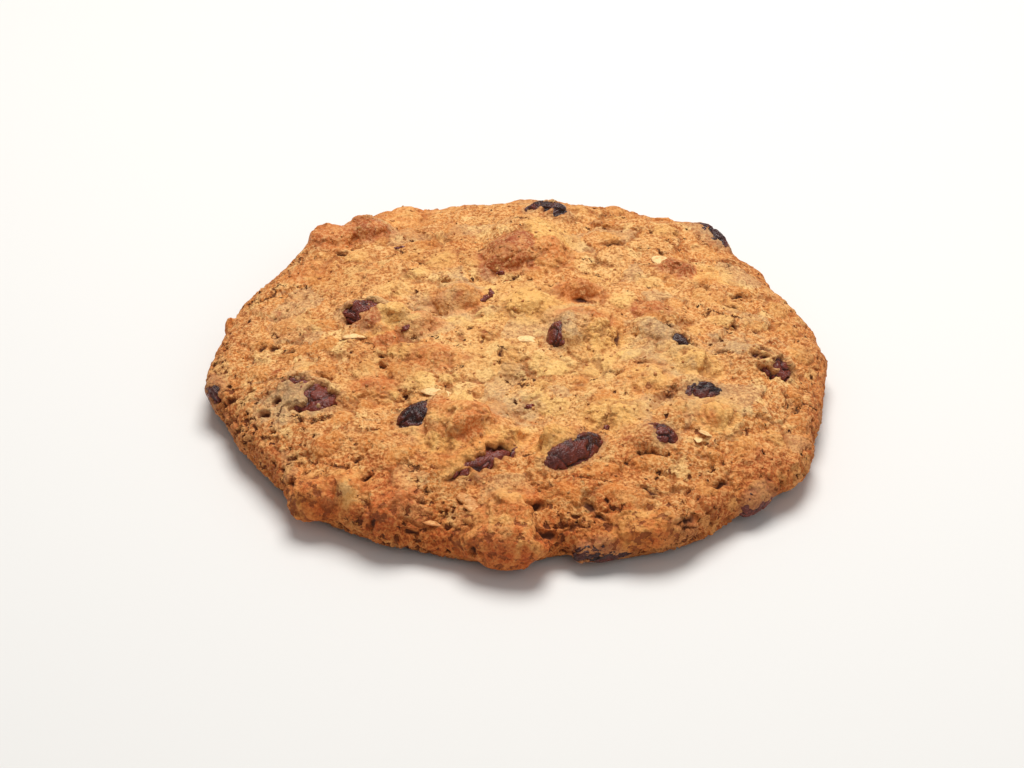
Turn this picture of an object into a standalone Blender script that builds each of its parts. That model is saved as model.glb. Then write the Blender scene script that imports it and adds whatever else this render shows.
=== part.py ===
"""An oatmeal raisin cookie: one baked round of oat dough with raisins set into it.

Run it with  blender --background --python part.py  or from Blender's text editor.
The dough is one solid, and every raisin is a solid of its own in its own pocket.

Dimensions and tables are in millimetres, and MM turns them into Blender's metres.
+Z is up. The cookie lies flat on z = 0, and everything hangs on one empty, which moves
the middle of its outline to the origin.
"""

import math
from typing import NamedTuple

import bmesh
import bpy
from mathutils import Matrix, Vector, noise

MM = 0.001

# Driving dimensions.
RIM_RADIUS = 48.3
CROWN_HEIGHT = 12.4
BELLY_HEIGHT = 4.4
SOLE_INSET = 3.4
SHOULDER_SQUARENESS = 3.0
CROWN_FULLNESS = 2.1
POCKET_CLEARANCE = 0.3

# The dough's unevenness: two sizes of swelling, as (wavelength, height).
SWELLINGS = ((13.0, 1.0), (5.5, 0.55))
SOLE_FADE = 2.4

# How roundly a lump stands up from the dough round it. Less is rounder.
LUMP_FULLNESS = 0.95

# How finely the dough is faceted.
RIM_SEGMENTS = 120
LOWER_WALL_RINGS = 3
SHOULDER_RINGS = 6
SHOULDER_SHARE = 0.86
CROWN_RINGS = 18
HALVING_SHARES = (0.5, 0.25)

# How finely each raisin is faceted, round its length and along it.
RAISIN_SIDES = 12
RAISIN_RINGS = 7

# Finishes, as linear colour and roughness.
DOUGH_FINISH = ((0.56, 0.27, 0.09, 1.0), 0.85)
RAISIN_FINISH = ((0.030, 0.010, 0.012, 1.0), 0.35)


class Lobe(NamedTuple):
    """A swelling or a notch of the outline, seen from above."""

    azimuth: float
    spread: float
    out: float


class Lump(NamedTuple):
    """A mound of dough, or a hollow where rise is negative.

    It stands on the crown at (x, y), or on the side wall in that direction
    when wall gives its height above the sole.
    """

    x: float
    y: float
    length: float
    width: float
    heading: float
    rise: float
    wall: float | None = None


class Raisin(NamedTuple):
    """A raisin set into the crown at (x, y), or into the side wall at a height.

    proud is how far its top stands above the dough there, leaving out lumps.
    """

    place: str
    x: float
    y: float
    length: float
    width: float
    thickness: float
    heading: float
    proud: float
    wall: float | None = None


OUTLINE = (
    Lobe(38, 14, 1.7),
    Lobe(50, 6, 3.3),
    Lobe(69, 13, 3.3),
    Lobe(112, 7, 1.0),
    Lobe(121, 14, 2.4),
    Lobe(132, 6, 2.6),
    Lobe(186, 8, 1.3),
    Lobe(213, 8, -0.9),
    Lobe(232, 8, 0.6),
    Lobe(262, 10, 1.0),
    Lobe(281, 4, -1.4),
    Lobe(292, 10, 2.8),
    Lobe(304, 8, 2.4),
    Lobe(327, 14, 3.8),
    Lobe(356, 20, 2.4),
)

LUMPS = (
    # Across the back.
    Lump(2.0, 27.0, 21.0, 15.0, 96, 3.8),
    Lump(-33.0, 27.5, 11.0, 10.0, 60, 2.8),
    Lump(-25.5, 33.0, 11.0, 8.0, -10, 2.6),
    Lump(-36.0, 20.5, 8.0, 6.0, 50, 1.4),
    Lump(20.0, 35.0, 16.0, 8.0, -10, 1.6),
    Lump(27.0, 20.0, 7.0, 5.5, -20, 2.0),
    Lump(35.0, 13.0, 10.0, 6.0, -50, 1.1),
    # Round the middle of the crown.
    Lump(-9.5, 9.5, 8.0, 7.5, 0, 2.1),
    Lump(11.0, 10.5, 7.5, 5.5, 0, 2.1),
    Lump(2.5, 5.5, 15.0, 11.0, 0, 1.9),
    Lump(11.5, -0.5, 12.0, 10.0, -30, 2.8),
    Lump(-15.5, 0.5, 8.0, 6.5, 20, 1.6),
    Lump(20.5, -12.0, 11.0, 10.0, 60, 1.8),
    Lump(15.0, -23.0, 13.0, 7.0, 15, 1.6),
    Lump(24.0, 4.5, 12.0, 7.0, -20, 1.6),
    Lump(28.5, -8.5, 12.0, 8.0, -20, 1.9),
    Lump(-14.0, -8.0, 11.0, 7.0, 0, 1.4),
    Lump(0.0, -8.0, 12.0, 9.0, 20, 1.3),
    # The two mounds over raisins, and the folds beside them.
    Lump(-7.0, -28.0, 13.5, 10.5, -10, 3.6),
    Lump(-7.5, -34.5, 16.0, 5.0, 32, 1.5),
    Lump(31.0, -22.5, 22.0, 8.0, 12, 1.4),
    Lump(-26.0, -28.5, 24.0, 9.0, -22, 1.5),
    # On the side wall, at the front.
    Lump(-0.5, -46.0, 11.5, 13.0, 0, 3.0, wall=6.4),
    Lump(-31.0, -36.0, 10.0, 8.0, 0, 2.6, wall=5.2),
    Lump(-20.0, -43.0, 11.0, 9.0, 0, 1.9, wall=7.0),
    Lump(-27.0, -38.0, 8.0, 8.0, 0, 1.4, wall=8.0),
    Lump(22.0, -42.0, 15.0, 8.0, 0, 1.4, wall=6.5),
    Lump(40.0, -26.0, 14.0, 9.0, 0, 1.0, wall=5.5),
    # Hollows.
    Lump(-13.5, 6.0, 8.0, 8.0, 0, -2.0),
    Lump(-4.5, 14.5, 10.0, 5.0, -10, -1.5),
    Lump(6.5, -13.0, 18.0, 6.0, 15, -1.6),
    Lump(3.0, -24.0, 15.0, 6.0, 10, -1.6),
    Lump(-18.5, -19.0, 12.0, 7.0, 0, -1.3),
    Lump(14.5, 16.5, 10.0, 7.0, 0, -1.3),
    Lump(17.0, -3.0, 5.0, 9.0, 0, -1.2),
    Lump(33.0, -12.5, 12.0, 5.0, -20, -1.2),
    Lump(4.5, -45.5, 5.0, 7.0, 0, -1.6, wall=8.0),
    Lump(14.0, -44.0, 6.0, 8.0, 0, -1.2, wall=7.5),
    Lump(-12.0, -43.0, 7.0, 8.0, 0, -1.0, wall=7.5),
)

RAISINS = (
    Raisin("back_left", -23.0, 3.0, 10.5, 7.0, 6.0, -28, 2.6),
    Raisin("left", -32.5, -17.5, 13.0, 7.0, 5.0, -42, 1.1),
    Raisin("left_centre", -13.5, -24.0, 9.0, 6.5, 5.5, 10, 1.8),
    Raisin("front_left", -4.0, -34.8, 13.0, 4.5, 5.0, 32, 1.3),
    Raisin("front_centre", 8.5, -32.5, 11.5, 6.0, 5.5, 38, 2.0),
    Raisin("front_right", 22.0, -29.0, 6.5, 5.5, 4.5, 10, 1.0),
    Raisin("right", 29.2, -18.0, 8.5, 6.5, 5.0, 0, 1.2),
    Raisin("right_rim", 39.5, -8.0, 10.0, 5.5, 4.5, -12, 1.1),
    Raisin("right_centre", 24.0, -2.5, 11.0, 5.5, 4.5, -33, 1.4),
    Raisin("centre", 8.4, -3.0, 8.0, 5.5, 5.0, 70, 2.0),
    Raisin("back", 6.0, 38.5, 8.0, 6.0, 5.0, -20, 2.4),
    Raisin("back_right", 35.0, 37.5, 10.0, 6.0, 5.0, -20, 1.4, wall=8.0),
    Raisin("front_edge", 13.5, -46.0, 10.0, 3.4, 3.2, 0, 0.6, wall=2.4),
    Raisin("right_edge", 36.5, -34.5, 7.0, 4.5, 3.6, 0, 0.7, wall=3.2),
    Raisin("left_edge", -48.0, -8.5, 5.5, 4.0, 4.0, 0, 0.4, wall=5.8),
)


def clear_scene():
    """Removes whatever the scene starts with."""
    for thing in list(bpy.data.objects):
        bpy.data.objects.remove(thing)


def finish(name, colour, roughness):
    """A plain material for one kind of food."""
    material = bpy.data.materials.new(name)
    material.use_nodes = True
    shader = material.node_tree.nodes["Principled BSDF"]
    shader.inputs["Base Color"].default_value = colour
    shader.inputs["Roughness"].default_value = roughness
    return material


# The bare shape: a domed round with a full side wall and a flat sole.


def rim_radius(azimuth):
    """Distance from the middle to the belly of the side wall, in one direction."""
    radius = RIM_RADIUS
    for lobe in OUTLINE:
        away = math.degrees(azimuth) - lobe.azimuth
        away = (away + 180) % 360 - 180
        radius += lobe.out * math.exp(-((away / lobe.spread) ** 2))
    return radius


def crown_height(share):
    """Height of the bare crown at a share of the way from the middle to the rim."""
    fall = max(0.0, 1 - share**SHOULDER_SQUARENESS)
    return BELLY_HEIGHT + (CROWN_HEIGHT - BELLY_HEIGHT) * fall ** (1 / CROWN_FULLNESS)


def wall_share(height):
    """Share of the rim's radius that the side wall reaches at a height."""
    if height < BELLY_HEIGHT:
        lift = 1 - height / BELLY_HEIGHT
        return 1 - SOLE_INSET / RIM_RADIUS * (1 - math.sqrt(max(0.0, 1 - lift * lift)))
    rise = (height - BELLY_HEIGHT) / (CROWN_HEIGHT - BELLY_HEIGHT)
    return max(0.0, 1 - rise**CROWN_FULLNESS) ** (1 / SHOULDER_SQUARENESS)


def bare_point(azimuth, share, height):
    reach = share * rim_radius(azimuth)
    return Vector((reach * math.cos(azimuth), reach * math.sin(azimuth), height))


def bare_normal(azimuth, share, height):
    """Outward normal of the bare shape, from the slope of its profile."""
    step = 0.02
    if height > BELLY_HEIGHT and share < SHOULDER_SHARE:
        run = step * RIM_RADIUS
        drop = crown_height(max(0.0, share - step / 2)) - crown_height(share + step / 2)
    else:
        low, high = max(0.0, height - step), min(CROWN_HEIGHT, height + step)
        run = (wall_share(low) - wall_share(high)) * RIM_RADIUS
        drop = high - low
    out, up = drop, run
    return Vector((out * math.cos(azimuth), out * math.sin(azimuth), up)).normalized()


def bare_spot(x, y, wall=None):
    """Point and normal of the bare shape at (x, y), or on the side wall at a height."""
    azimuth = math.atan2(y, x)
    if wall is None:
        share = math.hypot(x, y) / rim_radius(azimuth)
        height = crown_height(share)
    else:
        share, height = wall_share(wall), wall
    return bare_point(azimuth, share, height), bare_normal(azimuth, share, height)


# What lies on the bare shape: its unevenness, its lumps and its hollows.


def swelling(point):
    """How far the uneven dough stands out of the bare shape at a point."""
    out = 0.0
    for number, (wavelength, height) in enumerate(SWELLINGS):
        shift = Vector((17.3, 5.1, 9.7)) * (number + 1)
        out += height * noise.noise(point / wavelength + shift)
    return out


def frame_on(normal, heading):
    """Axes along, across and out of the surface, the first one near a heading."""
    turn = math.radians(heading)
    along = Vector((math.cos(turn), math.sin(turn), 0))
    along = (along - along.dot(normal) * normal).normalized()
    return along, normal.cross(along), normal


def lump_profile(lump):
    """A function from a point to how far one lump lifts the dough there."""
    middle, normal = bare_spot(lump.x, lump.y, lump.wall)
    heading = lump.heading
    if lump.wall is not None:
        heading = math.degrees(math.atan2(lump.y, lump.x)) + 90
    along, across, out = frame_on(normal, heading)
    half_length, half_width = lump.length / 2, lump.width / 2

    def lift(point):
        away = point - middle
        squared = (away.dot(along) / half_length) ** 2
        squared += (away.dot(across) / half_width) ** 2
        squared += (away.dot(out) / half_length) ** 2
        return lump.rise * (1 - squared) ** LUMP_FULLNESS if squared < 1 else 0.0

    return lift


def dough_point(azimuth, share, height, lifts):
    """A point of the finished dough. Its sole stays flat."""
    point = bare_point(azimuth, share, height)
    fade = min(1.0, height / SOLE_FADE)
    out = swelling(point) + sum(lift(point) for lift in lifts)
    return point + bare_normal(azimuth, share, height) * (out * fade)


# The dough's mesh, ring by ring from the sole to the crown.


def stations():
    """(share, height, segments) of each ring from the edge of the sole upwards."""
    rings = []
    for step in range(LOWER_WALL_RINGS):
        lift = math.sin(math.pi / 2 * step / LOWER_WALL_RINGS)
        height = BELLY_HEIGHT * (1 - math.sqrt(1 - lift * lift))
        rings.append((wall_share(height), height, RIM_SEGMENTS))
    shoulder_height = crown_height(SHOULDER_SHARE)
    for step in range(SHOULDER_RINGS):
        height = BELLY_HEIGHT + (shoulder_height - BELLY_HEIGHT) * step / SHOULDER_RINGS
        rings.append((wall_share(height), height, RIM_SEGMENTS))
    for step in range(CROWN_RINGS):
        share = SHOULDER_SHARE * (1 - step / CROWN_RINGS)
        halvings = sum(share < limit for limit in HALVING_SHARES)
        rings.append((share, crown_height(share), RIM_SEGMENTS >> halvings))
    return rings


def add_ring(mesh, share, height, segments, lifts):
    """Adds one closed loop of points, and returns its edges."""
    points = []
    for step in range(segments):
        azimuth = 2 * math.pi * step / segments
        points.append(mesh.verts.new(dough_point(azimuth, share, height, lifts) * MM))
    pairs = zip(points, points[1:] + points[:1])
    return [mesh.edges.new(pair) for pair in pairs]


def dough_mesh():
    lifts = [lump_profile(lump) for lump in LUMPS]
    mesh = bmesh.new()
    rings = [add_ring(mesh, *station, lifts) for station in stations()]
    for lower, upper in zip(rings, rings[1:]):
        bmesh.ops.bridge_loops(mesh, edges=lower + upper)
    bmesh.ops.contextual_create(mesh, geom=rings[0])
    top = mesh.verts.new(dough_point(0.0, 0.0, CROWN_HEIGHT, lifts) * MM)
    for edge in rings[-1]:
        mesh.faces.new((*edge.verts, top))
    bmesh.ops.recalc_face_normals(mesh, faces=mesh.faces)
    return mesh


# The raisins and their pockets.


def raisin_mesh(raisin, number, clearance=0.0):
    """A dried grape: an egg with lengthwise furrows, bent a little."""
    mesh = bmesh.new()
    poles_along_x = Matrix.Rotation(math.pi / 2, 4, "Y")
    bmesh.ops.create_uvsphere(
        mesh, u_segments=RAISIN_SIDES, v_segments=RAISIN_RINGS, radius=1.0, matrix=poles_along_x
    )
    half = Vector((raisin.length, raisin.width, raisin.thickness)) / 2
    for vertex in mesh.verts:
        way = vertex.co.copy()
        round_it = math.atan2(way.z, way.y)
        drift = noise.noise(way * 1.4 + Vector((number, 2.0 * number, 0.0)))
        furrow = 0.08 * math.cos(4 * round_it + 3 * drift) * (1 - way.x**4)
        swell = 1 + furrow + 0.12 * drift - 0.06 * way.x
        vertex.co = Vector(a * b * swell for a, b in zip(way, half))
        vertex.co.y += 0.10 * half.y * (1 - 2 * way.x**2)
    mesh.normal_update()
    for vertex in mesh.verts:
        vertex.co = (vertex.co + vertex.normal * clearance) * MM
    return mesh


def raisin_place(raisin):
    """World matrix of a raisin that lies along the surface of the dough."""
    spot, normal = bare_spot(raisin.x, raisin.y, raisin.wall)
    heading = raisin.heading
    if raisin.wall is not None:
        heading += math.degrees(math.atan2(raisin.y, raisin.x)) + 90
    along, across, out = frame_on(normal, heading)
    lift = swelling(spot) + raisin.proud - raisin.thickness / 2
    turned = Matrix((along, across, out)).transposed().to_4x4()
    return Matrix.Translation((spot + normal * lift) * MM) @ turned


def add_object(name, mesh, material=None, smooth_angle=None):
    """Turns a bmesh into an object of the scene."""
    data = bpy.data.meshes.new(name)
    mesh.to_mesh(data)
    mesh.free()
    if smooth_angle is not None:
        data.shade_smooth()
        data.set_sharp_from_angle(angle=math.radians(smooth_angle))
    if material is not None:
        data.materials.append(material)
    thing = bpy.data.objects.new(name, data)
    bpy.context.scene.collection.objects.link(thing)
    return thing


def add_raisins(material):
    """Every raisin, and for each a cutter: the same shape grown by the clearance."""
    raisins, cutters = [], []
    for number, raisin in enumerate(RAISINS, start=1):
        place = raisin_place(raisin)
        body = add_object(f"raisin_{raisin.place}", raisin_mesh(raisin, number), material, 50)
        body.matrix_world = place
        raisins.append(body)
        grown = raisin_mesh(raisin, number, POCKET_CLEARANCE)
        cutter = add_object(f"pocket_{raisin.place}", grown)
        cutter.matrix_world = place
        cutter.hide_render = True
        cutter.display_type = "WIRE"
        cutters.append(cutter)
    return raisins, cutters


def cut_pockets(dough, cutters):
    for cutter in cutters:
        cut = dough.modifiers.new(cutter.name, "BOOLEAN")
        cut.operation = "DIFFERENCE"
        cut.object = cutter


def outline_middle(pieces):
    """The middle of the pieces' box, seen from above, in metres."""
    spots = [piece.matrix_world @ vertex.co for piece in pieces for vertex in piece.data.vertices]
    low = Vector(map(min, *spots))
    high = Vector(map(max, *spots))
    return Vector(((low.x + high.x) / 2, (low.y + high.y) / 2, 0.0))


def main():
    clear_scene()
    dough = add_object("dough", dough_mesh(), finish("baked_dough", *DOUGH_FINISH), 50)
    raisins, cutters = add_raisins(finish("raisin_skin", *RAISIN_FINISH))
    cut_pockets(dough, cutters)

    cookie = bpy.data.objects.new("cookie", None)
    bpy.context.scene.collection.objects.link(cookie)
    cookie.location = -outline_middle([dough, *raisins])
    for thing in (dough, *raisins, *cutters):
        thing.parent = cookie


main()
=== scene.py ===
"""The looks of an oatmeal raisin cookie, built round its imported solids.

The dough is grown from its solid: pockets filled, oat flakes and lumps baked into it,
then pitted and grained. The raisins are wrinkled copies of their solids. Loose flakes,
crumbs and scraps of raisin are strewn over the top.

Sizes in tables are in millimetres, and MM turns them into Blender's metres.
"""

import math
from typing import NamedTuple

import bmesh
import bpy
import numpy as np
from bpy.props import FloatProperty, FloatVectorProperty, IntProperty, PointerProperty
from mathutils import Matrix, Vector, noise
from mathutils.bvhtree import BVHTree


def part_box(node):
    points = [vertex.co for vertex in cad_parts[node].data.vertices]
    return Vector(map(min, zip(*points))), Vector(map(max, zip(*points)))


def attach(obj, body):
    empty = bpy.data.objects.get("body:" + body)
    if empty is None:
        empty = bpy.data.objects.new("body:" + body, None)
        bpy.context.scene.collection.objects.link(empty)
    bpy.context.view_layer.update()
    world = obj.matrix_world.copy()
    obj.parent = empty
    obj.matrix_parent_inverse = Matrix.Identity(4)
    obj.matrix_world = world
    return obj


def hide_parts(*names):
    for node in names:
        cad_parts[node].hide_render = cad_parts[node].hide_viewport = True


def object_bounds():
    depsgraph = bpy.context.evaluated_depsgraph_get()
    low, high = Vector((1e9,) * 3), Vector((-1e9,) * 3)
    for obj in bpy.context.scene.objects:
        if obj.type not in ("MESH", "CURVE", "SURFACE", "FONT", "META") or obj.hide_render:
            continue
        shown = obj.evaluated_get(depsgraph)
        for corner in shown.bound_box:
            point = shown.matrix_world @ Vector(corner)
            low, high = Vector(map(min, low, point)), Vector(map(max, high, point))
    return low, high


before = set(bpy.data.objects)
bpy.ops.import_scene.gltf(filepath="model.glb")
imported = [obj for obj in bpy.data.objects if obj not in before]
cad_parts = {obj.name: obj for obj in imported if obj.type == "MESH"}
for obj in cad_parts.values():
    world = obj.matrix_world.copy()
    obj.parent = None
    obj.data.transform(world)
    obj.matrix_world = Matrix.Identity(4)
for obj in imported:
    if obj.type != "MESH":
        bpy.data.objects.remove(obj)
CAD_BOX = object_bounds()

bl_info = {
    "name": "Oatmeal raisin cookie",
    "version": (1, 0, 0),
    "blender": (4, 5, 0),
    "location": "3D View > Sidebar > Cookie",
    "description": "Bakes the looks of an oatmeal raisin cookie round its solids",
    "category": "Object",
}

MM = 0.001
UP = Vector((0.0, 0.0, 1.0))
DOUGH_FACES = 190_000
SENSOR_WIDTH = 36.0

# How deep in millimetres the middle of a knob and of a scrap sits, and how far raisins
# grow to fill the gap round their solids.
KNOB_SINK = 1.8
SCRAP_SINK = 0.25
RAISIN_GROWTH = 0.42
# The number of the first scrap's wrinkles, which is past those of the raisins.
FIRST_SCRAP = 40
# A gouge wider than the first has steep walls, and each is pressed by an egg as tall as the second.
GOUGE_WALL = 1.3
GOUGE_REACH = 6.0

# How far in millimetres the dough's film stands over a raisin's solid where the raisin
# just shows, and the lowest and highest that it gets.
FILM_EDGE = 0.45
FILM_LIMITS = (-1.6, 1.45)

# A flake's thickness and width, as shares of its length.
FLAKE_THICKNESS = 0.045
FLAKE_WIDTH = 0.68

# Points that stand further than SPIKE out of the finished skin are drawn in, above a height
# of SPIKE_FLOOR. Up to a height of SOLE the skin is plain, so its triangles are thinned.
SPIKE = 0.40 * MM
SPIKE_FLOOR = 1.5 * MM
SOLE = 0.9 * MM


def srgb(red, green, blue):
    """A linear colour from the 0 to 255 values that a colour chart gives."""
    shares = (value / 255 for value in (red, green, blue))
    return tuple(s / 12.92 if s <= 0.04045 else ((s + 0.055) / 1.055) ** 2.4 for s in shares)


# Sizes and colours that a user would change.


def size(name, description, default):
    """A size that a user can change."""
    return FloatProperty(
        name=name, description=description, default=default, unit="LENGTH", precision=5
    )


def shade(name, description, default):
    """A colour that a user can change."""
    return FloatVectorProperty(name=name, description=description, default=default, subtype="COLOR")


class DoughSettings(bpy.types.PropertyGroup):
    """The baked dough."""

    skin_step: size("Skin step", "Spacing of the points on the finished skin", 0.39 * MM)
    grain: size("Grain", "Height of the sandy grain", 0.20 * MM)
    pit_depth: size("Pit depth", "Depth of the deepest pits", 1.3 * MM)
    pale: shade("Pale dough", "Dough that stayed pale, in the middle of the crown", srgb(233, 172, 104))
    golden: shade("Golden dough", "The main colour of the baked crust", srgb(218, 140, 70))
    toasted: shade("Toasted dough", "Lumps and rims that browned most", srgb(188, 100, 48))
    # The pore colour is painted shade for the bottoms of pits, pores, cracks, creases and gouges.
    deep: shade("Pores", "The bottoms of pits and pores", srgb(84, 40, 18))


class OatSettings(bpy.types.PropertyGroup):
    """The rolled oat flakes."""

    length: size("Length", "Length of a whole flake", 6.5 * MM)
    baked_in: IntProperty(
        name="Baked-in spacing",
        description="Spacing between flakes under the crust, in tenths of a millimetre",
        default=52,
    )
    colour: shade("Oat", "Bare oat flakes", srgb(246, 210, 146))


class RaisinSettings(bpy.types.PropertyGroup):
    """The raisins."""

    wrinkle: size("Wrinkle", "Depth of the folds in the skin", 0.42 * MM)
    skin: shade("Skin", "The darkest raisin skin", srgb(56, 21, 17))
    # The flesh colour also serves as painted light glowing through the skin on a raisin's sides.
    flesh: shade("Flesh", "Thin skin that lets the red-brown flesh show", srgb(122, 50, 36))


class StageSettings(bpy.types.PropertyGroup):
    """The floor, the lights and the camera."""

    elevation: FloatProperty(
        name="Elevation",
        description="The camera's angle above the table",
        default=math.radians(34),
        subtype="ANGLE",
    )
    width_share: FloatProperty(
        name="Width share",
        description="Share of the picture's width that the cookie fills",
        default=0.6155,
        subtype="FACTOR",
    )
    lens: FloatProperty(
        name="Lens", description="Focal length of the camera", default=100.0, unit="CAMERA"
    )


# Small tools for objects and meshes.


def add_object(name, mesh):
    thing = bpy.data.objects.new(name, mesh)
    bpy.context.scene.collection.objects.link(thing)
    return thing


def mesh_from(name, form):
    """A mesh from a bmesh, which is freed."""
    mesh = bpy.data.meshes.new(name)
    form.to_mesh(mesh)
    form.free()
    return mesh


def form_of(mesh):
    """A bmesh of a mesh."""
    form = bmesh.new()
    form.from_mesh(mesh)
    return form


def solid_form(node):
    """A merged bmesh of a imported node."""
    form = form_of(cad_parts[node].data)
    bmesh.ops.remove_doubles(form, verts=form.verts, dist=0.002 * MM)
    bmesh.ops.recalc_face_normals(form, faces=form.faces)
    form.normal_update()
    return form


def make_plain(thing):
    """Swaps an object's mesh for what its modifiers make of it, and drops them."""
    depsgraph = bpy.context.evaluated_depsgraph_get()
    mesh = bpy.data.meshes.new_from_object(thing.evaluated_get(depsgraph))
    thing.modifiers.clear()
    thing.data = mesh
    return thing


def remesh(thing, step):
    skin = thing.modifiers.new("skin", "REMESH")
    skin.mode = "VOXEL"
    skin.voxel_size = step


def smooth(thing, rounds):
    ease = thing.modifiers.new("ease", "SMOOTH")
    ease.factor = 0.5
    ease.iterations = rounds


def rounded(thing, levels):
    """Rounds an object's facets off."""
    rounder = thing.modifiers.new("rounder", "SUBSURF")
    rounder.levels = rounder.render_levels = levels
    return make_plain(thing)


def dress(thing, material):
    """Gives an object a smooth shade and one material."""
    thing.data.shade_smooth()
    thing.data.materials.clear()
    thing.data.materials.append(material)


def thin_out(thing, faces, where):
    """Thins a mesh to a number of triangles, taken from where it matters least.

    The points that this drops below the table are set on it again.
    """
    total = sum(len(polygon.vertices) - 2 for polygon in thing.data.polygons)
    if total <= faces:
        return
    group = thing.vertex_groups.new(name="least")
    group.add([vertex.index for vertex in thing.data.vertices if where(vertex.co)], 1.0, "REPLACE")
    thinner = thing.modifiers.new("thinner", "DECIMATE")
    thinner.ratio = faces / total
    thinner.vertex_group = group.name
    thinner.use_collapse_triangulate = True
    make_plain(thing)
    thing.vertex_groups.clear()
    for vertex in thing.data.vertices:
        vertex.co.z = max(0.0, vertex.co.z)


def keep_largest(thing):
    """Drops the closed voids and loose grains that a remeshed shape has beside its main skin."""
    form = form_of(thing.data)
    form.verts.ensure_lookup_table()
    seen = set()
    islands = []
    for start in form.verts:
        if start in seen:
            continue
        seen.add(start)
        island = [start]
        for vertex in island:
            for edge in vertex.link_edges:
                other = edge.other_vert(vertex)
                if other not in seen:
                    seen.add(other)
                    island.append(other)
        islands.append(island)
    islands.sort(key=len)
    bmesh.ops.delete(form, geom=[vertex for island in islands[:-1] for vertex in island], context="VERTS")
    form.to_mesh(thing.data)
    form.free()


def rows_of(items, name, width=3):
    """A table of what mesh items hold, a row for each."""
    rows = np.empty(len(items) * width, dtype=int if name == "vertices" else float)
    items.foreach_get(name, rows)
    return rows.reshape(-1, width)


def drop_spikes(mesh, height, floor):
    """Draws in every point above a floor that stands too far out from its neighbours."""
    count = len(mesh.vertices)
    places = rows_of(mesh.vertices, "co")
    ends = rows_of(mesh.edges, "vertices", 2)
    others = places[ends[:, ::-1].ravel()]
    ends = ends.ravel()
    sums = [np.bincount(ends, weights=others[:, axis], minlength=count) for axis in range(3)]
    middles = np.stack(sums, axis=1) / np.bincount(ends, minlength=count)[:, None]
    stand = np.sum((places - middles) * rows_of(mesh.vertices, "normal"), axis=1)
    far = (np.abs(stand) > height) & (places[:, 2] > floor)
    places[far] = middles[far]
    mesh.vertices.foreach_set("co", places.ravel())
    mesh.update()


def ray_tree(thing):
    return BVHTree.FromObject(thing, bpy.context.evaluated_depsgraph_get())


def spot_on(tree, x, y, wall=None):
    """Point and outward normal of a surface above (x, y), or on its side wall at a height."""
    if wall is None:
        point, normal, *_ = tree.ray_cast(Vector((x, y, 40.0)) * MM, -UP)
    else:
        outward = Vector((x, y, 0.0)).normalized()
        start = outward * 90 * MM + UP * wall * MM
        point, normal, *_ = tree.ray_cast(start, -outward)
    return point, normal


def way_to(heading, out, on_wall):
    """A heading in degrees, from the east on the top or from the level on the side wall."""
    turn = math.radians(heading)
    if on_wall:
        return UP.cross(out).normalized() * math.cos(turn) + UP * math.sin(turn)
    return Vector((math.cos(turn), math.sin(turn), 0.0))


def frame_on(normal, heading, wall=None):
    """Rotation whose X runs near a heading and whose Z is the normal."""
    along = way_to(heading, normal, wall is not None)
    along = (along - along.dot(normal) * normal).normalized()
    return Matrix((along, normal.cross(along), normal)).transposed().to_4x4()


# Node trees: wires that can be used in sums, and the sheets they are drawn on.


def sum_method(operation, turned=False):
    """A wire's way to add a Math node. A turned one has the wire as the last value."""

    def method(self, *others):
        values = (*others, self) if turned else (self, *others)
        return self.sheet.add("ShaderNodeMath", {"operation": operation}, values)[0]

    return method


class Wire:
    """An output of a node. Sums on wires add Math nodes."""

    def __init__(self, sheet, socket):
        self.sheet = sheet
        self.socket = socket

    __add__ = sum_method("ADD")
    __radd__ = sum_method("ADD", turned=True)
    __sub__ = sum_method("SUBTRACT")
    __rsub__ = sum_method("SUBTRACT", turned=True)
    __mul__ = sum_method("MULTIPLY")
    __rmul__ = sum_method("MULTIPLY", turned=True)
    __truediv__ = sum_method("DIVIDE")
    __pow__ = sum_method("POWER")
    __abs__ = sum_method("ABSOLUTE")
    least = sum_method("MINIMUM")
    most = sum_method("MAXIMUM")


class Made:
    """A node on a sheet. Indexing it gives one of its outputs as a wire."""

    def __init__(self, sheet, node):
        self.sheet = sheet
        self.node = node

    def __getitem__(self, output):
        return Wire(self.sheet, self.node.outputs[output])


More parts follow.
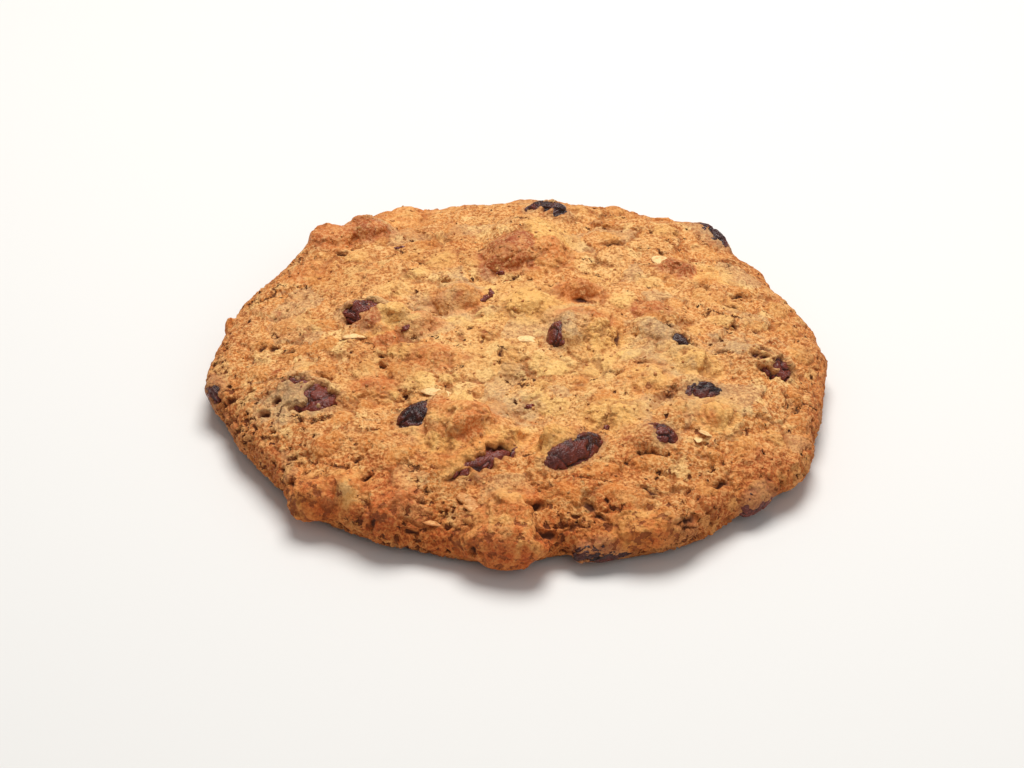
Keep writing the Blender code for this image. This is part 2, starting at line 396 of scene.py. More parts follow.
class Sheet:
    """A node tree that is drawn by method calls."""

    def __init__(self, tree):
        self.tree = tree

    def add(self, kind, settings=None, values=()):
        """Adds a node: its settings first, then the values or wires of its sockets."""
        node = self.tree.nodes.new(kind)
        for name, setting in (settings or {}).items():
            setattr(node, name, setting)
        pairs = values.items() if isinstance(values, dict) else enumerate(values)
        for name, value in pairs:
            self.put(node.inputs[name], value)
        return Made(self, node)

    def put(self, socket, value):
        if isinstance(value, Wire):
            self.tree.links.new(value.socket, socket)
        elif value is not None:
            socket.default_value = value

    def vector(self, operation, *values):
        """Vector maths. A dot product and a length come out as numbers."""
        output = "Value" if operation in ("DOT_PRODUCT", "LENGTH") else "Vector"
        return self.add("ShaderNodeVectorMath", {"operation": operation}, values)[output]

    def scaled(self, vector, factor):
        return self.add("ShaderNodeVectorMath", {"operation": "SCALE"}, {0: vector, "Scale": factor})[0]

    def part(self, vector, axis):
        """One of a vector's three numbers."""
        return self.add("ShaderNodeSeparateXYZ", None, (vector,))[axis]

    def from_axis(self, place):
        """Distance from the upright line through the origin."""
        return self.vector("LENGTH", self.vector("MULTIPLY", place, (1.0, 1.0, 0.0)))

    def ease(self, value, low, high, start=0.0, end=1.0):
        """Runs smoothly from start to end while value goes from low to high."""
        settings = {"interpolation_type": "SMOOTHSTEP"}
        values = {"Value": value, "From Min": low, "From Max": high, "To Min": start, "To Max": end}
        return self.add("ShaderNodeMapRange", settings, values)[0]

    def cloud(self, place, size, detail=2.0, roughness=0.5, warp=0.0):
        """Cloudy noise round 0.5, with features of about a size."""
        values = {"Vector": place, "Scale": 1 / size, "Detail": detail}
        values |= {"Roughness": roughness, "Distortion": warp}
        return self.add("ShaderNodeTexNoise", None, values)["Fac"]

    def cells(self, place, size, feature="F1"):
        """Cells of about a size: the node, whose Distance is in cell widths."""
        values = {"Vector": place, "Scale": 1 / size}
        return self.add("ShaderNodeTexVoronoi", {"feature": feature}, values)

    def bent(self, place):
        """A place moved a little every way, so that shapes cut from it come out uneven."""
        values = {"Vector": place, "Scale": 0.75, "Detail": 3.0, "Roughness": 0.65}
        drift = self.add("ShaderNodeTexNoise", None, values)["Color"]
        return self.vector("ADD", place, self.scaled(self.vector("SUBTRACT", drift, (0.5, 0.5, 0.5)), 2.2))

    def pits(self, place, spacing, radii, share, crowd):
        """Round pits, 1 at their middle: a share of the cells holds one, most where they crowd."""
        cell = self.cells(place, spacing)
        radius = self.ease(self.part(cell["Color"], "X"), 0.0, 1.0, *radii)
        there = self.ease(self.part(cell["Color"], "Y") - crowd * share, 0.02, -0.02)
        return self.ease(cell["Distance"] * spacing / radius, 1.0, 0.25) * there

    def pores(self, place):
        """The dough's large and small pores and its hairline cracks, each from 0 to 1."""
        bend = self.bent(place)
        crowd = self.ease(self.cloud(place, 10.0, 1.0), 0.36, 0.60, 0.15, 1.0)
        crowd = crowd.most(self.ease(self.from_axis(place), 38.0, 46.0))
        large = self.pits(bend, 3.4, (0.30, 0.70), 0.55, crowd)
        small = self.pits(self.vector("ADD", bend, (7.0, 0.0, 0.0)), 1.6, (0.20, 0.55), 0.42, crowd)
        ridge = abs(self.cloud(self.vector("MULTIPLY", bend, (0.7, 1.3, 1.6)), 7.0, 1.0) - 0.5)
        crack = self.ease(ridge, 0.022, 0.004) * self.ease(self.cloud(place, 7.0, 1.0), 0.56, 0.62)
        return large, small, crack

    def crumble(self, place):
        """Ragged gaps in the crumb, from 0 to 1: few on the crown, many low on the front."""
        low = self.ease(self.part(place, "Z"), 11.0, 7.0) * self.ease(self.from_axis(place), 37.0, 44.0)
        front = self.ease(self.part(place, "Y") + self.part(place, "X") * 0.6, -12.0, -34.0)
        patchy = (self.cloud(place, 6.0, 2.0) - 0.5) * 0.22
        limit = 0.26 + low * (0.04 + 0.12 * front) + patchy
        return self.ease(self.cloud(self.bent(place), 1.3, 1.0, 0.5) - limit, 0.02, -0.08)

    def mixed(self, share, first, second, blend="MIX"):
        """A mix of two colours."""
        settings = {"data_type": "RGBA", "blend_type": blend, "clamp_factor": True}
        first, second = (c if isinstance(c, Wire) else (*c, 1.0) for c in (first, second))
        return self.add("ShaderNodeMix", settings, {0: share, 6: first, 7: second})[2]

    def coated(self, colour, *coats):
        """A colour under coats: the share of each, its colour, and how it blends."""
        for share, coat, *blend in coats:
            colour = self.mixed(share, colour, coat, *blend)
        return colour

    def named(self, name, output="Fac"):
        """A number or vector that the mesh carries, for a material."""
        return self.add("ShaderNodeAttribute", {"attribute_name": name})[output]


def material_sheet(name):
    """A new material, its sheet, and the inputs of its shader."""
    material = bpy.data.materials.new(name)
    material.use_nodes = True
    shader = material.node_tree.nodes["Principled BSDF"]
    return material, Sheet(material.node_tree), shader.inputs


def finish_material(sheet, inputs, colour, roughness, relief=None, strength=0.0, height=0.0):
    """Sets a shader's colour and roughness, and its relief, of a height in millimetres."""
    sheet.put(inputs["Base Color"], colour)
    sheet.put(inputs["Roughness"], roughness)
    if relief is not None:
        values = {"Strength": strength, "Distance": height * MM, "Height": relief}
        sheet.put(inputs["Normal"], sheet.add("ShaderNodeBump", None, values)["Normal"])


def object_place(sheet):
    """Object coordinates in millimetres."""
    return sheet.scaled(sheet.add("ShaderNodeTexCoord")["Object"], 1 / MM)


def geometry_tree(name, sockets):
    """A Geometry Nodes tree with a geometry input and named inputs: (name, type, default)."""
    tree = bpy.data.node_groups.new(name, "GeometryNodeTree")
    tree.interface.new_socket("Geometry", in_out="INPUT", socket_type="NodeSocketGeometry")
    for label, kind, default in sockets:
        socket = tree.interface.new_socket(label, in_out="INPUT", socket_type=kind)
        if default is not None:
            socket.default_value = default
    tree.interface.new_socket("Geometry", in_out="OUTPUT", socket_type="NodeSocketGeometry")
    sheet = Sheet(tree)
    given = sheet.add("NodeGroupInput")
    end = sheet.add("NodeGroupOutput").node
    return tree, sheet, given, end


def store(sheet, geometry, name, value, domain="POINT", kind="FLOAT"):
    """Marks a geometry with a named value."""
    values = {"Geometry": geometry, "Name": name, "Value": value}
    settings = {"data_type": kind, "domain": domain}
    return sheet.add("GeometryNodeStoreNamedAttribute", settings, values)[0]


def use_tree(thing, tree, **choices):
    """Adds a tree to an object, with its inputs set by their identifiers."""
    modifier = thing.modifiers.new(tree.name, "NODES")
    modifier.node_group = tree
    for item in tree.interface.items_tree:
        if item.in_out == "INPUT" and item.name in choices:
            modifier[item.identifier] = choices[item.name]


# Lumps, flakes and raisins that are placed one by one.


class Nub(NamedTuple):
    """A knob of dough at (x, y), or on the side wall where wall gives its height.

    rise is how far it stands out, and toast from 0 to 1 how brown it baked.
    """

    x: float
    y: float
    length: float
    width: float
    heading: float
    rise: float
    toast: float
    wall: float | None = None


class Gouge(NamedTuple):
    """A gap in the crust at (x, y), or on the side wall where wall gives its height."""

    x: float
    y: float
    length: float
    width: float
    heading: float
    depth: float
    wall: float | None = None


class Tone(NamedTuple):
    """A part of the crown that baked to a shade of its own."""

    x: float
    y: float
    reach: float
    shade: str


class Oat(NamedTuple):
    """An oat flake at (x, y) that shows in the crust.

    tilt lifts its left edge, lift is how far its middle stands out of the dough, and
    toast from 0 to 1 is how brown it baked. A bare flake has no dough over it.
    """

    x: float
    y: float
    length: float
    width: float
    heading: float
    tilt: float
    lift: float
    toast: float
    bare: bool = False


class Raisin(NamedTuple):
    """How a raisin lies in the dough.

    cover is the height of the dough's film at its top: under 0 the top is bare.
    The film rises by climb towards a heading in degrees, and falls on the other side.
    On the side wall the heading is counted from the level. Where the film is whole,
    gouges open it.
    dust and red from 0 to 1 say how dusty and how red-brown it is, and growth how far
    its skin swells out of its solid.
    """

    node: str
    cover: float
    climb: float
    heading: float
    dust: float
    red: float
    on_wall: bool = False
    growth: float = RAISIN_GROWTH


def table(kind, *rows):
    """Things of one kind, each from a row of its values in their order."""
    return tuple(kind(*row) for row in rows)


NUBS = table(
    Nub,
    # The browned mound at the back, and the rough corner at the back left.
    (-1.0, 20.4, 11.0, 8.5, 10, 1.7, 1.00), (6.0, 22.0, 8.0, 8.0, 60, 1.1, 0.55),
    (6.5, 28.5, 10.0, 8.0, 60, 0.7, 0.15), (-30.5, 31.5, 13.0, 8.0, 25, 1.9, 0.80),
    (-26.5, 31.5, 7.5, 5.0, 0, 1.3, 0.95), (-34.5, 21.0, 6.5, 5.0, 50, 0.8, 0.60),
    (-19.0, 40.0, 11.0, 6.0, 15, 1.2, 0.55), (27.2, 20.4, 5.5, 4.5, -30, 1.2, 0.95),
    (21.8, 6.2, 5.0, 4.0, -10, 0.7, 0.90), (33.0, 19.0, 8.0, 5.5, -40, 0.5, 0.30),
    # Round the middle.
    (-9.8, 8.8, 7.0, 6.0, 0, 1.1, 0.55), (10.7, 10.4, 7.0, 4.2, -8, 1.0, 0.72),
    (2.0, 4.5, 9.0, 6.5, 15, 0.7, 0.00), (10.8, 2.8, 7.5, 3.6, -15, 0.4, 0.60),
    (13.5, -3.5, 6.0, 4.5, 20, 0.5, 0.05), (-15.5, 0.0, 6.0, 4.5, 20, 0.9, 0.60),
    (-13.0, -8.5, 7.0, 5.0, -10, 0.7, 0.62), (-23.4, 1.4, 4.4, 3.8, 0, 1.9, 1.00),
    (-21.8, -1.4, 3.4, 3.0, -20, 1.2, 0.40), (-19.0, 1.4, 5.2, 3.8, -10, 1.7, 0.00),
    (-16.6, 0.0, 2.8, 2.4, 0, 1.0, 0.05), (27.0, -9.4, 9.0, 6.5, -25, 0.9, 0.15),
    (21.0, -14.0, 7.0, 5.6, 60, 0.8, 0.45), (14.5, -24.0, 8.5, 5.0, 15, 0.8, 0.15),
    (30.5, -22.5, 7.0, 5.0, 30, 0.7, 0.35), (-20.5, -3.0, 4.6, 3.4, -10, 0.8, 0.75),
    (-22.6, -15.5, 6.0, 5.0, 30, 0.9, 0.62), (5.0, -31.4, 5.5, 3.0, 36, 2.4, 0.20),
    # The mound over two raisins at the front left, and the ridge below it.
    (-9.0, -26.0, 11.0, 8.5, -10, 1.2, 0.58), (-12.6, -30.0, 6.0, 4.0, -30, 0.6, 0.10),
    (-4.6, -32.4, 14.0, 3.0, 35, 0.9, 0.30),
    # Down the front.
    (-2.0, -47.0, 7.0, 13.0, 90, 0.5, 0.52, 4.4), (-1.4, -47.0, 7.0, 8.5, 90, 0.7, 0.52, 7.4),
    (-1.2, -43.0, 8.0, 7.0, 80, 0.9, 0.52), (-30.5, -37.0, 6.5, 6.5, 0, 0.7, 0.42, 5.8),
    (-18.2, -41.5, 7.0, 2.6, 40, 0.9, 0.65), (-25.0, -37.5, 6.0, 5.0, 0, 0.9, 0.50, 8.6),
    (18.0, -44.0, 8.0, 5.0, 0, 0.5, 0.40, 7.0),
)

GOUGES = table(
    Gouge,
    # Where the film over three raisins has burst.
    (-35.2, -14.6, 6.6, 1.3, -14, 1.6), (-34.0, -12.6, 3.0, 2.4, 20, 1.7),
    (-30.2, -18.4, 6.2, 5.0, -46, 1.9), (-33.2, -20.6, 6.0, 1.2, -14, 1.7),
    (-37.6, -17.6, 1.8, 1.0, 0, 0.9), (38.6, -5.6, 4.8, 1.0, -38, 1.2),
    (42.4, -8.3, 3.6, 3.6, -30, 1.9), (40.3, -9.8, 5.2, 1.1, -14, 1.6),
    (37.6, -7.4, 1.8, 1.1, 0, 1.3), (39.2, -8.0, 1.8, 0.8, -20, 1.3),
    (-3.9, -34.9, 9.0, 2.8, 34, 1.25), (-8.8, -37.7, 5.6, 1.0, 34, 0.8),
    # Where the film over the other raisins has burst or baked away.
    (-26.2, 3.7, 5.8, 3.6, 62, 1.5), (-23.0, 4.9, 9.0, 2.2, -24, 1.5),
    (27.0, -4.5, 5.0, 3.2, -35, 2.0), (24.1, -0.6, 5.4, 0.9, -30, 1.4),
    (-47.8, -9.9, 2.8, 2.4, 90, 1.7, 6.2), (6.6, 38.4, 5.0, 3.8, -35, 2.0),
    (33.6, 37.0, 6.5, 2.6, -35, 2.2), (13.8, -46.0, 9.5, 1.8, 0, 1.7, 1.9),
    (8.6, -47.2, 6.0, 1.0, 8, 1.0, 2.6),
    # Gaps beside the tongue and down the front wall.
    (3.0, -45.6, 3.8, 1.1, -55, 1.2, 8.8), (4.6, -47.8, 4.0, 1.1, -70, 1.0, 6.2),
    (10.9, -42.5, 3.4, 0.8, -60, 0.9), (12.4, -44.0, 2.6, 0.9, -40, 0.9, 7.2),
    (24.0, -41.8, 4.8, 1.3, -5, 1.3, 6.9), (19.8, -38.8, 4.0, 0.8, -20, 0.9),
    (-6.9, -47.7, 3.4, 1.1, 60, 1.1, 4.7), (-15.5, -43.5, 3.0, 0.9, -30, 0.8, 5.0),
    (-20.5, -41.5, 3.0, 1.0, 60, 0.9, 6.0), (-33.0, -33.0, 3.0, 1.0, 20, 0.9, 6.6),
    # The slit, the folds and single holes on the top.
    (-2.7, -7.9, 2.6, 0.8, 100, 0.8), (-22.8, -36.3, 2.4, 1.4, 80, 1.1),
    (-24.5, -32.6, 1.6, 1.1, 10, 0.9), (-41.0, -2.0, 1.6, 1.2, 0, 0.9),
    (-39.0, -2.1, 1.4, 1.1, 0, 0.9), (-36.6, -3.9, 2.2, 1.0, -10, 0.9),
    (-21.6, -7.4, 1.6, 1.1, 0, 0.9), (-21.4, -9.4, 1.4, 1.1, 0, 0.9),
    (-30.1, -12.3, 2.0, 1.3, -10, 0.9), (-42.0, -12.6, 1.8, 1.2, -60, 0.9),
    (-39.6, -18.9, 2.4, 1.3, -40, 1.0), (-17.5, 6.2, 1.4, 1.1, 0, 1.0),
    (-15.9, 5.5, 2.4, 1.1, -25, 1.0), (-16.0, 20.5, 2.6, 1.2, -30, 0.9),
    (-11.6, 14.5, 2.0, 1.2, 0, 0.9), (-29.5, 26.0, 2.0, 1.4, 0, 1.0),
    (16.2, 27.8, 5.0, 1.1, 5, 1.0), (30.4, 14.2, 3.4, 1.0, -30, 0.9),
    (25.6, 29.7, 1.6, 1.2, 0, 0.9), (10.8, 8.0, 4.6, 0.7, -5, 0.3),
    (16.2, -2.2, 5.0, 0.6, -88, 0.4), (15.8, -12.7, 2.2, 1.0, 5, 0.9),
    (19.3, -10.6, 2.6, 0.9, -15, 0.8), (36.6, 12.4, 4.6, 0.6, 20, 0.5),
    (35.0, 8.6, 4.6, 0.6, -38, 0.5), (35.0, 2.1, 1.3, 1.0, 0, 0.9),
    (36.6, 2.4, 1.3, 1.0, 0, 0.9), (38.6, 2.2, 1.8, 1.0, -5, 0.9),
    (32.5, -5.5, 2.4, 1.0, -50, 0.9), (30.8, -36.0, 4.0, 1.2, 15, 1.0),
)

TONES = table(
    Tone,
    (-13.5, 6.0, 6.5, "grey"), (-9.5, 13.5, 5.0, "grey"), (22.5, -8.0, 7.0, "grey"),
    (22.0, -1.5, 4.5, "grey"), (-1.0, -21.0, 6.0, "grey"), (35.0, -3.0, 5.0, "grey"),
    (-34.0, -18.0, 6.0, "grey"), (8.5, -1.5, 4.5, "grey"), (5.0, 9.0, 8.0, "cream"),
    (12.0, -11.0, 8.0, "cream"), (-4.0, -9.0, 6.0, "cream"), (16.0, -20.0, 6.0, "cream"),
    (-21.0, -10.0, 11.0, "brown"), (-13.0, 25.0, 10.0, "brown"), (-28.0, 18.0, 8.0, "brown"),
    (26.0, -38.0, 11.0, "golden"),
)

OATS = table(
    Oat,
    (1.6, -4.0, 3.6, 2.6, 5, 6, 0.25, 0.0, True),
    (-12.6, -17.2, 5.4, 2.4, -12, 8, 0.25, 0.1, True),
    (-25.7, -1.8, 5.4, 2.4, 15, 22, 0.35, 0.0, True),
    (24.2, 22.6, 3.8, 2.8, -20, 18, 0.35, 0.0, True),
    (-7.4, -41.4, 5.4, 2.0, -38, 6, 0.08, 1.0, True),
    (-6.4, -43.2, 4.4, 1.8, -36, 4, 0.08, 0.7, True),
    (28.8, -27.4, 3.0, 1.8, 30, 26, 0.40, 0.0, True),
    (27.6, -28.6, 2.6, 1.4, 75, 20, 0.40, 0.0, True),
    (-12.2, -43.4, 4.0, 2.0, -5, 6, 0.08, 0.7, True), (32.8, 10.8, 6.0, 4.6, -35, 6, 0.20, 0.4),
    (23.4, -14.2, 5.6, 3.8, 70, 14, 0.20, 0.3), (3.6, -19.0, 3.6, 3.0, 30, 8, 0.25, 0.0),
    (-5.0, 4.5, 5.0, 3.6, 60, 6, 0.12, 0.1), (28.5, -37.0, 3.6, 3.2, 40, 10, 0.25, 0.2),
    (15.4, -39.4, 6.4, 2.6, -4, 6, 0.25, 0.5), (-26.0, -37.2, 4.0, 3.2, 20, 10, 0.25, 0.0),
    (-32.0, 2.6, 5.0, 3.4, -15, 8, 0.20, 0.1), (-34.6, 4.8, 4.0, 3.0, 40, 10, 0.30, 0.0),
    (-20.4, -15.6, 5.0, 3.6, 70, 14, 0.25, 0.0), (16.6, 30.0, 6.4, 3.8, -8, 10, 0.20, 0.4),
    (-18.0, -6.0, 5.4, 4.0, 20, 6, 0.20, 0.2), (22.0, 16.0, 5.4, 3.4, 10, 8, 0.20, 0.2),
    (-33.0, -9.4, 5.6, 3.4, -35, 10, 0.20, 0.1), (-8.6, 2.4, 6.0, 4.4, -20, 6, 0.15, 0.0),
    (6.0, -10.5, 6.4, 4.4, 15, 6, 0.15, 0.0), (-3.5, 11.0, 5.4, 4.0, 40, 6, 0.15, 0.1),
    (18.0, -8.0, 5.0, 3.6, -40, 8, 0.15, 0.0), (-14.5, -13.5, 5.6, 4.0, 10, 8, 0.15, 0.1),
    (17.5, 8.5, 5.4, 4.0, -30, 8, 0.15, 0.1), (-20.0, 12.5, 6.0, 4.2, 25, 8, 0.15, 0.2),
)

RAISINS = (
    Raisin("raisin_back_left", 0.36, 0.25, -45, 0.10, 0.75, growth=-0.30),
    Raisin("raisin_left", 0.85, 0.15, 150, 0.20, 1.00),
    Raisin("raisin_left_centre", 0.25, 2.40, -5, 0.15, 0.25),
    Raisin("raisin_front_left", 0.60, 0.30, 122, 0.10, 1.00),
    Raisin("raisin_front_centre", 0.50, 2.60, 132, 0.10, 0.70),
    Raisin("raisin_front_right", 0.32, 1.40, 190, 0.40, 0.75),
    Raisin("raisin_right", 0.62, 1.60, 100, 0.15, 0.40),
    Raisin("raisin_right_rim", 0.85, 0.15, 150, 0.20, 1.00),
    Raisin("raisin_right_centre", 0.80, 0.20, 160, 0.35, 0.20),
    Raisin("raisin_centre", 1.15, 2.40, 5, 0.15, 0.90),
    Raisin("raisin_back", 0.60, 0.20, -80, 0.20, 0.40),
    Raisin("raisin_back_right", 0.80, 0.30, 290, 0.20, 0.30, on_wall=True),
    Raisin("raisin_front_edge", 0.80, 0.30, 90, 0.10, 0.00, on_wall=True),
    Raisin("raisin_right_edge", 0.50, 1.20, 90, 0.30, 0.50, on_wall=True),
    Raisin("raisin_left_edge", 0.70, 0.20, 90, 0.20, 0.60, on_wall=True),
)


# The dough.


def raisin_out(raisin):
    """The way out of the dough at a raisin."""
    if not raisin.on_wall:
        return UP
    low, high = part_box(raisin.node)
    middle = (low + high) / 2
    return Vector((middle.x, middle.y, 0.0)).normalized()


def pocket_fill(raisin):
    """Dough that fills a raisin's pocket and rises to the film over it."""
    form = solid_form(raisin.node)
    out = raisin_out(raisin)
    low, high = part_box(raisin.node)
    middle = (low + high) / 2
    way = way_to(raisin.heading, out, raisin.on_wall)
    reach = max((vertex.co - middle).dot(way) for vertex in form.verts)
    buried = 0.6
    # The film is uneven, and twice as steep as it is asked to be, so that its rim is crisp.
    for vertex in form.verts:
        facing = min(1.0, max(0.0, (vertex.normal.dot(out) + 0.25) / 0.7))
        film = raisin.cover + raisin.climb * (vertex.co - middle).dot(way) / reach
        film += 1.1 * noise.noise(vertex.co / (2.6 * MM))
        film = FILM_EDGE + (film - FILM_EDGE) * 2
        film = min(FILM_LIMITS[1] * (0.5 if raisin.on_wall else 1.0), max(FILM_LIMITS[0], film))
        grown = buried + (film - buried) * facing
        vertex.co += vertex.normal * grown * MM
    return form


def joined(name, forms):
    """One mesh from several bmeshes."""
    whole = bmesh.new()
    for form in forms:
        part = mesh_from("part", form)
        whole.from_mesh(part)
        bpy.data.meshes.remove(part)
    return mesh_from(name, whole)


def blended(name, forms, rounds):
    """One closed skin round several shapes, with its facets and joins smoothed away."""
    thing = add_object(name, joined(name, forms))
    remesh(thing, 0.55 * MM)
    smooth(thing, rounds)
    return make_plain(thing)


def knob_form(nub, number):
    """A knob as a rough egg that is half sunk in the dough, without its place."""
    form = bmesh.new()
    bmesh.ops.create_icosphere(form, subdivisions=3, radius=1.0)
    half = Vector((nub.length / 2, nub.width / 2, nub.rise + KNOB_SINK))
    for vertex in form.verts:
        way = vertex.co.copy()
        swell = 1 + 0.36 * noise.noise(way * 1.2 + Vector((number * 3.1, 0.0, 0.0)))
        swell += 0.16 * noise.noise(way * 2.9 + Vector((0.0, number * 1.7, 0.0)))
        vertex.co = Vector(a * b * swell * MM for a, b in zip(way, half))
    return form


def gouged(thing, tree):
    """Presses every gouge into a skin, and marks each point with how deep it went, which the material
    darkens as painted shade.
    """
    mesh = thing.data
    places = rows_of(mesh.vertices, "co") / MM
    normals = rows_of(mesh.vertex_normals, "vector")
    depth = np.zeros(len(places))
    share = np.zeros(len(places))
    for number, gouge in enumerate(GOUGES):
        point, normal = spot_on(tree, gouge.x, gouge.y, gouge.wall)
        axes = np.array(frame_on(normal, gouge.heading, gouge.wall).to_3x3())
        along, across, out = ((places - np.array(point) / MM) @ axes).T
        across = across + 0.30 * gouge.width * np.sin(along * 2.1 + number) * np.cos(along * 0.9)
        shares = (along / gouge.length, across / gouge.width, out / GOUGE_REACH)
        far = 2 * np.sqrt(sum(part**2 for part in shares))
        steep = max(1.0, gouge.width / GOUGE_WALL)
        dip = np.clip(0.25 + (1 - far) * steep, 0, 1)
        depth = np.maximum(depth, dip * gouge.depth)
        share = np.maximum(share, dip)
    places -= normals * depth[:, None]
    mesh.vertices.foreach_set("co", (places * MM).ravel())
    mesh.attributes.new("gouge", "FLOAT", "POINT").data.foreach_set("value", share)
    mesh.update()


def knobs(tree):
    """Every listed knob, each point carrying how brown it baked."""
    forms = []
    for number, nub in enumerate(NUBS):
        form = knob_form(nub, number)
        toast = form.verts.layers.float.new("toast")
        for vertex in form.verts:
            vertex[toast] = nub.toast
        point, normal = spot_on(tree, nub.x, nub.y, nub.wall)
        sunk = point - normal * KNOB_SINK * MM
        form.transform(Matrix.Translation(sunk) @ frame_on(normal, nub.heading, nub.wall))
        forms.append(form)
    return add_object("knobs", joined("knobs", forms))


def flake_mesh(seed):
    """A rolled oat flake one unit long: a frayed oval with a crease, thin and curled."""
    sides = 14
    form = bmesh.new()
    rim = form.verts.layers.float.new("rim")

    def ring(share, height):
        points = []
        for step in range(sides):
            turn = 2 * math.pi * step / sides
            way = Vector((math.cos(turn), math.sin(turn), 0.0))
            fray = 1 + 0.30 * noise.noise(way * 1.9 + Vector((seed * 5.3, 0.0, 0.0)))
            fray += 0.14 * noise.noise(way * 4.7 + Vector((0.0, seed * 3.7, 0.0)))
            x = 0.5 * share * fray * way.x
            y = 0.5 * FLAKE_WIDTH * share * fray * way.y
            curl = -0.35 * x * x - 0.5 * y * y - 0.035 * math.exp(-((y / 0.06) ** 2))
            point = form.verts.new((x, y, curl + height))
            point[rim] = share
            points.append(point)
        return points

    def bridge(lower, upper):
        for step in range(sides):
            after = (step + 1) % sides
            form.faces.new((lower[step], lower[after], upper[after], upper[step]))

    profile = ((0.5, -1.0), (0.94, -0.6), (1.0, 0.0), (0.94, 0.6), (0.5, 1.0))
    levels = [ring(share, FLAKE_THICKNESS * height) for share, height in profile]
    for lower, upper in zip(levels, levels[1:]):
        bridge(lower, upper)
    form.faces.new(reversed(levels[0]))
    form.faces.new(levels[-1])
    bmesh.ops.recalc_face_normals(form, faces=form.faces)
    return mesh_from("flake", form)


def hidden_collection(name, meshes):
    """A collection of shapes to copy, which is on no scene."""
    collection = bpy.data.collections.new(name)
    for mesh in meshes:
        collection.objects.link(bpy.data.objects.new(mesh.name, mesh))
    return collection


def strew_tree():
    """Strews copies of shapes over a surface, above a height, and makes them real."""
    sockets = (
        ("Shapes", "NodeSocketCollection", None),
        ("Spacing", "NodeSocketFloat", 5.0 * MM),
        ("Density", "NodeSocketFloat", 20000.0),
        ("Smallest", "NodeSocketVector", None),
        ("Largest", "NodeSocketVector", None),
        ("Lift", "NodeSocketFloat", 0.0),
        ("Tilt", "NodeSocketFloat", 0.3),
        ("Floor", "NodeSocketFloat", 2.0 * MM),
        ("Slopes", "NodeSocketFloat", 1.0),
        ("Seed", "NodeSocketInt", 1),
        ("Material", "NodeSocketMaterial", None),
    )
    tree, sheet, given, end = geometry_tree("strew", sockets)
    place = sheet.add("GeometryNodeInputPosition")[0]
    heights = (sheet.part(place, "Z"), given["Floor"])
    above = sheet.add("FunctionNodeCompare", {"operation": "GREATER_THAN"}, heights)[0]
    patchy = sheet.ease(sheet.cloud(sheet.scaled(place, 1 / MM), 14.0), 0.38, 0.62, 0.35, 1.0)
    upward = sheet.part(sheet.add("GeometryNodeInputNormal")[0], "Z")
    patchy = patchy * sheet.ease(abs(upward - 0.55), 0.28, 0.36).most(given["Slopes"])
    values = {"Mesh": given["Geometry"], "Selection": above, "Density Factor": patchy}
    values |= {"Distance Min": given["Spacing"], "Density Max": given["Density"], "Seed": given["Seed"]}
    spots = sheet.add("GeometryNodeDistributePointsOnFaces", {"distribute_method": "POISSON"}, values)

    def chance(low, high, offset, kind="FLOAT"):
        """A random value for each copy, from low to high, with a seed of its own."""
        output = ("FLOAT_VECTOR", "FLOAT", "INT").index(kind)
        values = {output * 2: low, output * 2 + 1: high, "Seed": given["Seed"] + offset}
        return sheet.add("FunctionNodeRandomValue", {"data_type": kind}, values)[output]

    lean = given["Tilt"]
    turns = (chance(lean * -1, lean, 11), chance(lean * -1, lean, 12), chance(-math.pi, math.pi, 13))
    euler = sheet.add("ShaderNodeCombineXYZ", None, turns)[0]
    turn = sheet.add("FunctionNodeEulerToRotation", None, (euler,))[0]
    values = {"Rotation": spots["Rotation"], "Rotate By": turn}
    rotation = sheet.add("FunctionNodeRotateRotation", {"rotation_space": "LOCAL"}, values)[0]
    lift = sheet.scaled(spots["Normal"], given["Lift"] * chance(0.4, 1.6, 14))
    moved = sheet.add("GeometryNodeSetPosition", None, {"Geometry": spots["Points"], "Offset": lift})[0]
    values = {"Collection": given["Shapes"], "Separate Children": True, "Reset Children": True}
    shapes = sheet.add("GeometryNodeCollectionInfo", None, values)[0]
    values = {"Points": moved, "Instance": shapes, "Pick Instance": True, "Rotation": rotation}
    values["Instance Index"] = chance(0, 99, 15, "INT")
    values["Scale"] = chance(given["Smallest"], given["Largest"], 16, "FLOAT_VECTOR")
    copies = sheet.add("GeometryNodeInstanceOnPoints", None, values)[0]
    tinted = store(sheet, copies, "tint", chance(0.0, 1.0, 17), "INSTANCE")
    real = sheet.add("GeometryNodeRealizeInstances", None, (tinted,))[0]
    finished = sheet.add("GeometryNodeSetMaterial", None, {0: real, "Material": given["Material"]})[0]
    sheet.put(end.inputs[0], finished)
    return tree


def strewn(name, surface, tree, **choices):
    """A new plain object that holds what a tree strews over a surface."""
    thing = add_object(name, surface.data.copy())
    use_tree(thing, tree, **choices)
    return make_plain(thing)


def dome(radius):
    """Height in millimetres of a plain domed cookie at a distance from its middle."""
    share = (radius / 49.5).least(0.999)
    return 4.4 + 8.0 * (1 - share**3.0) ** 0.48


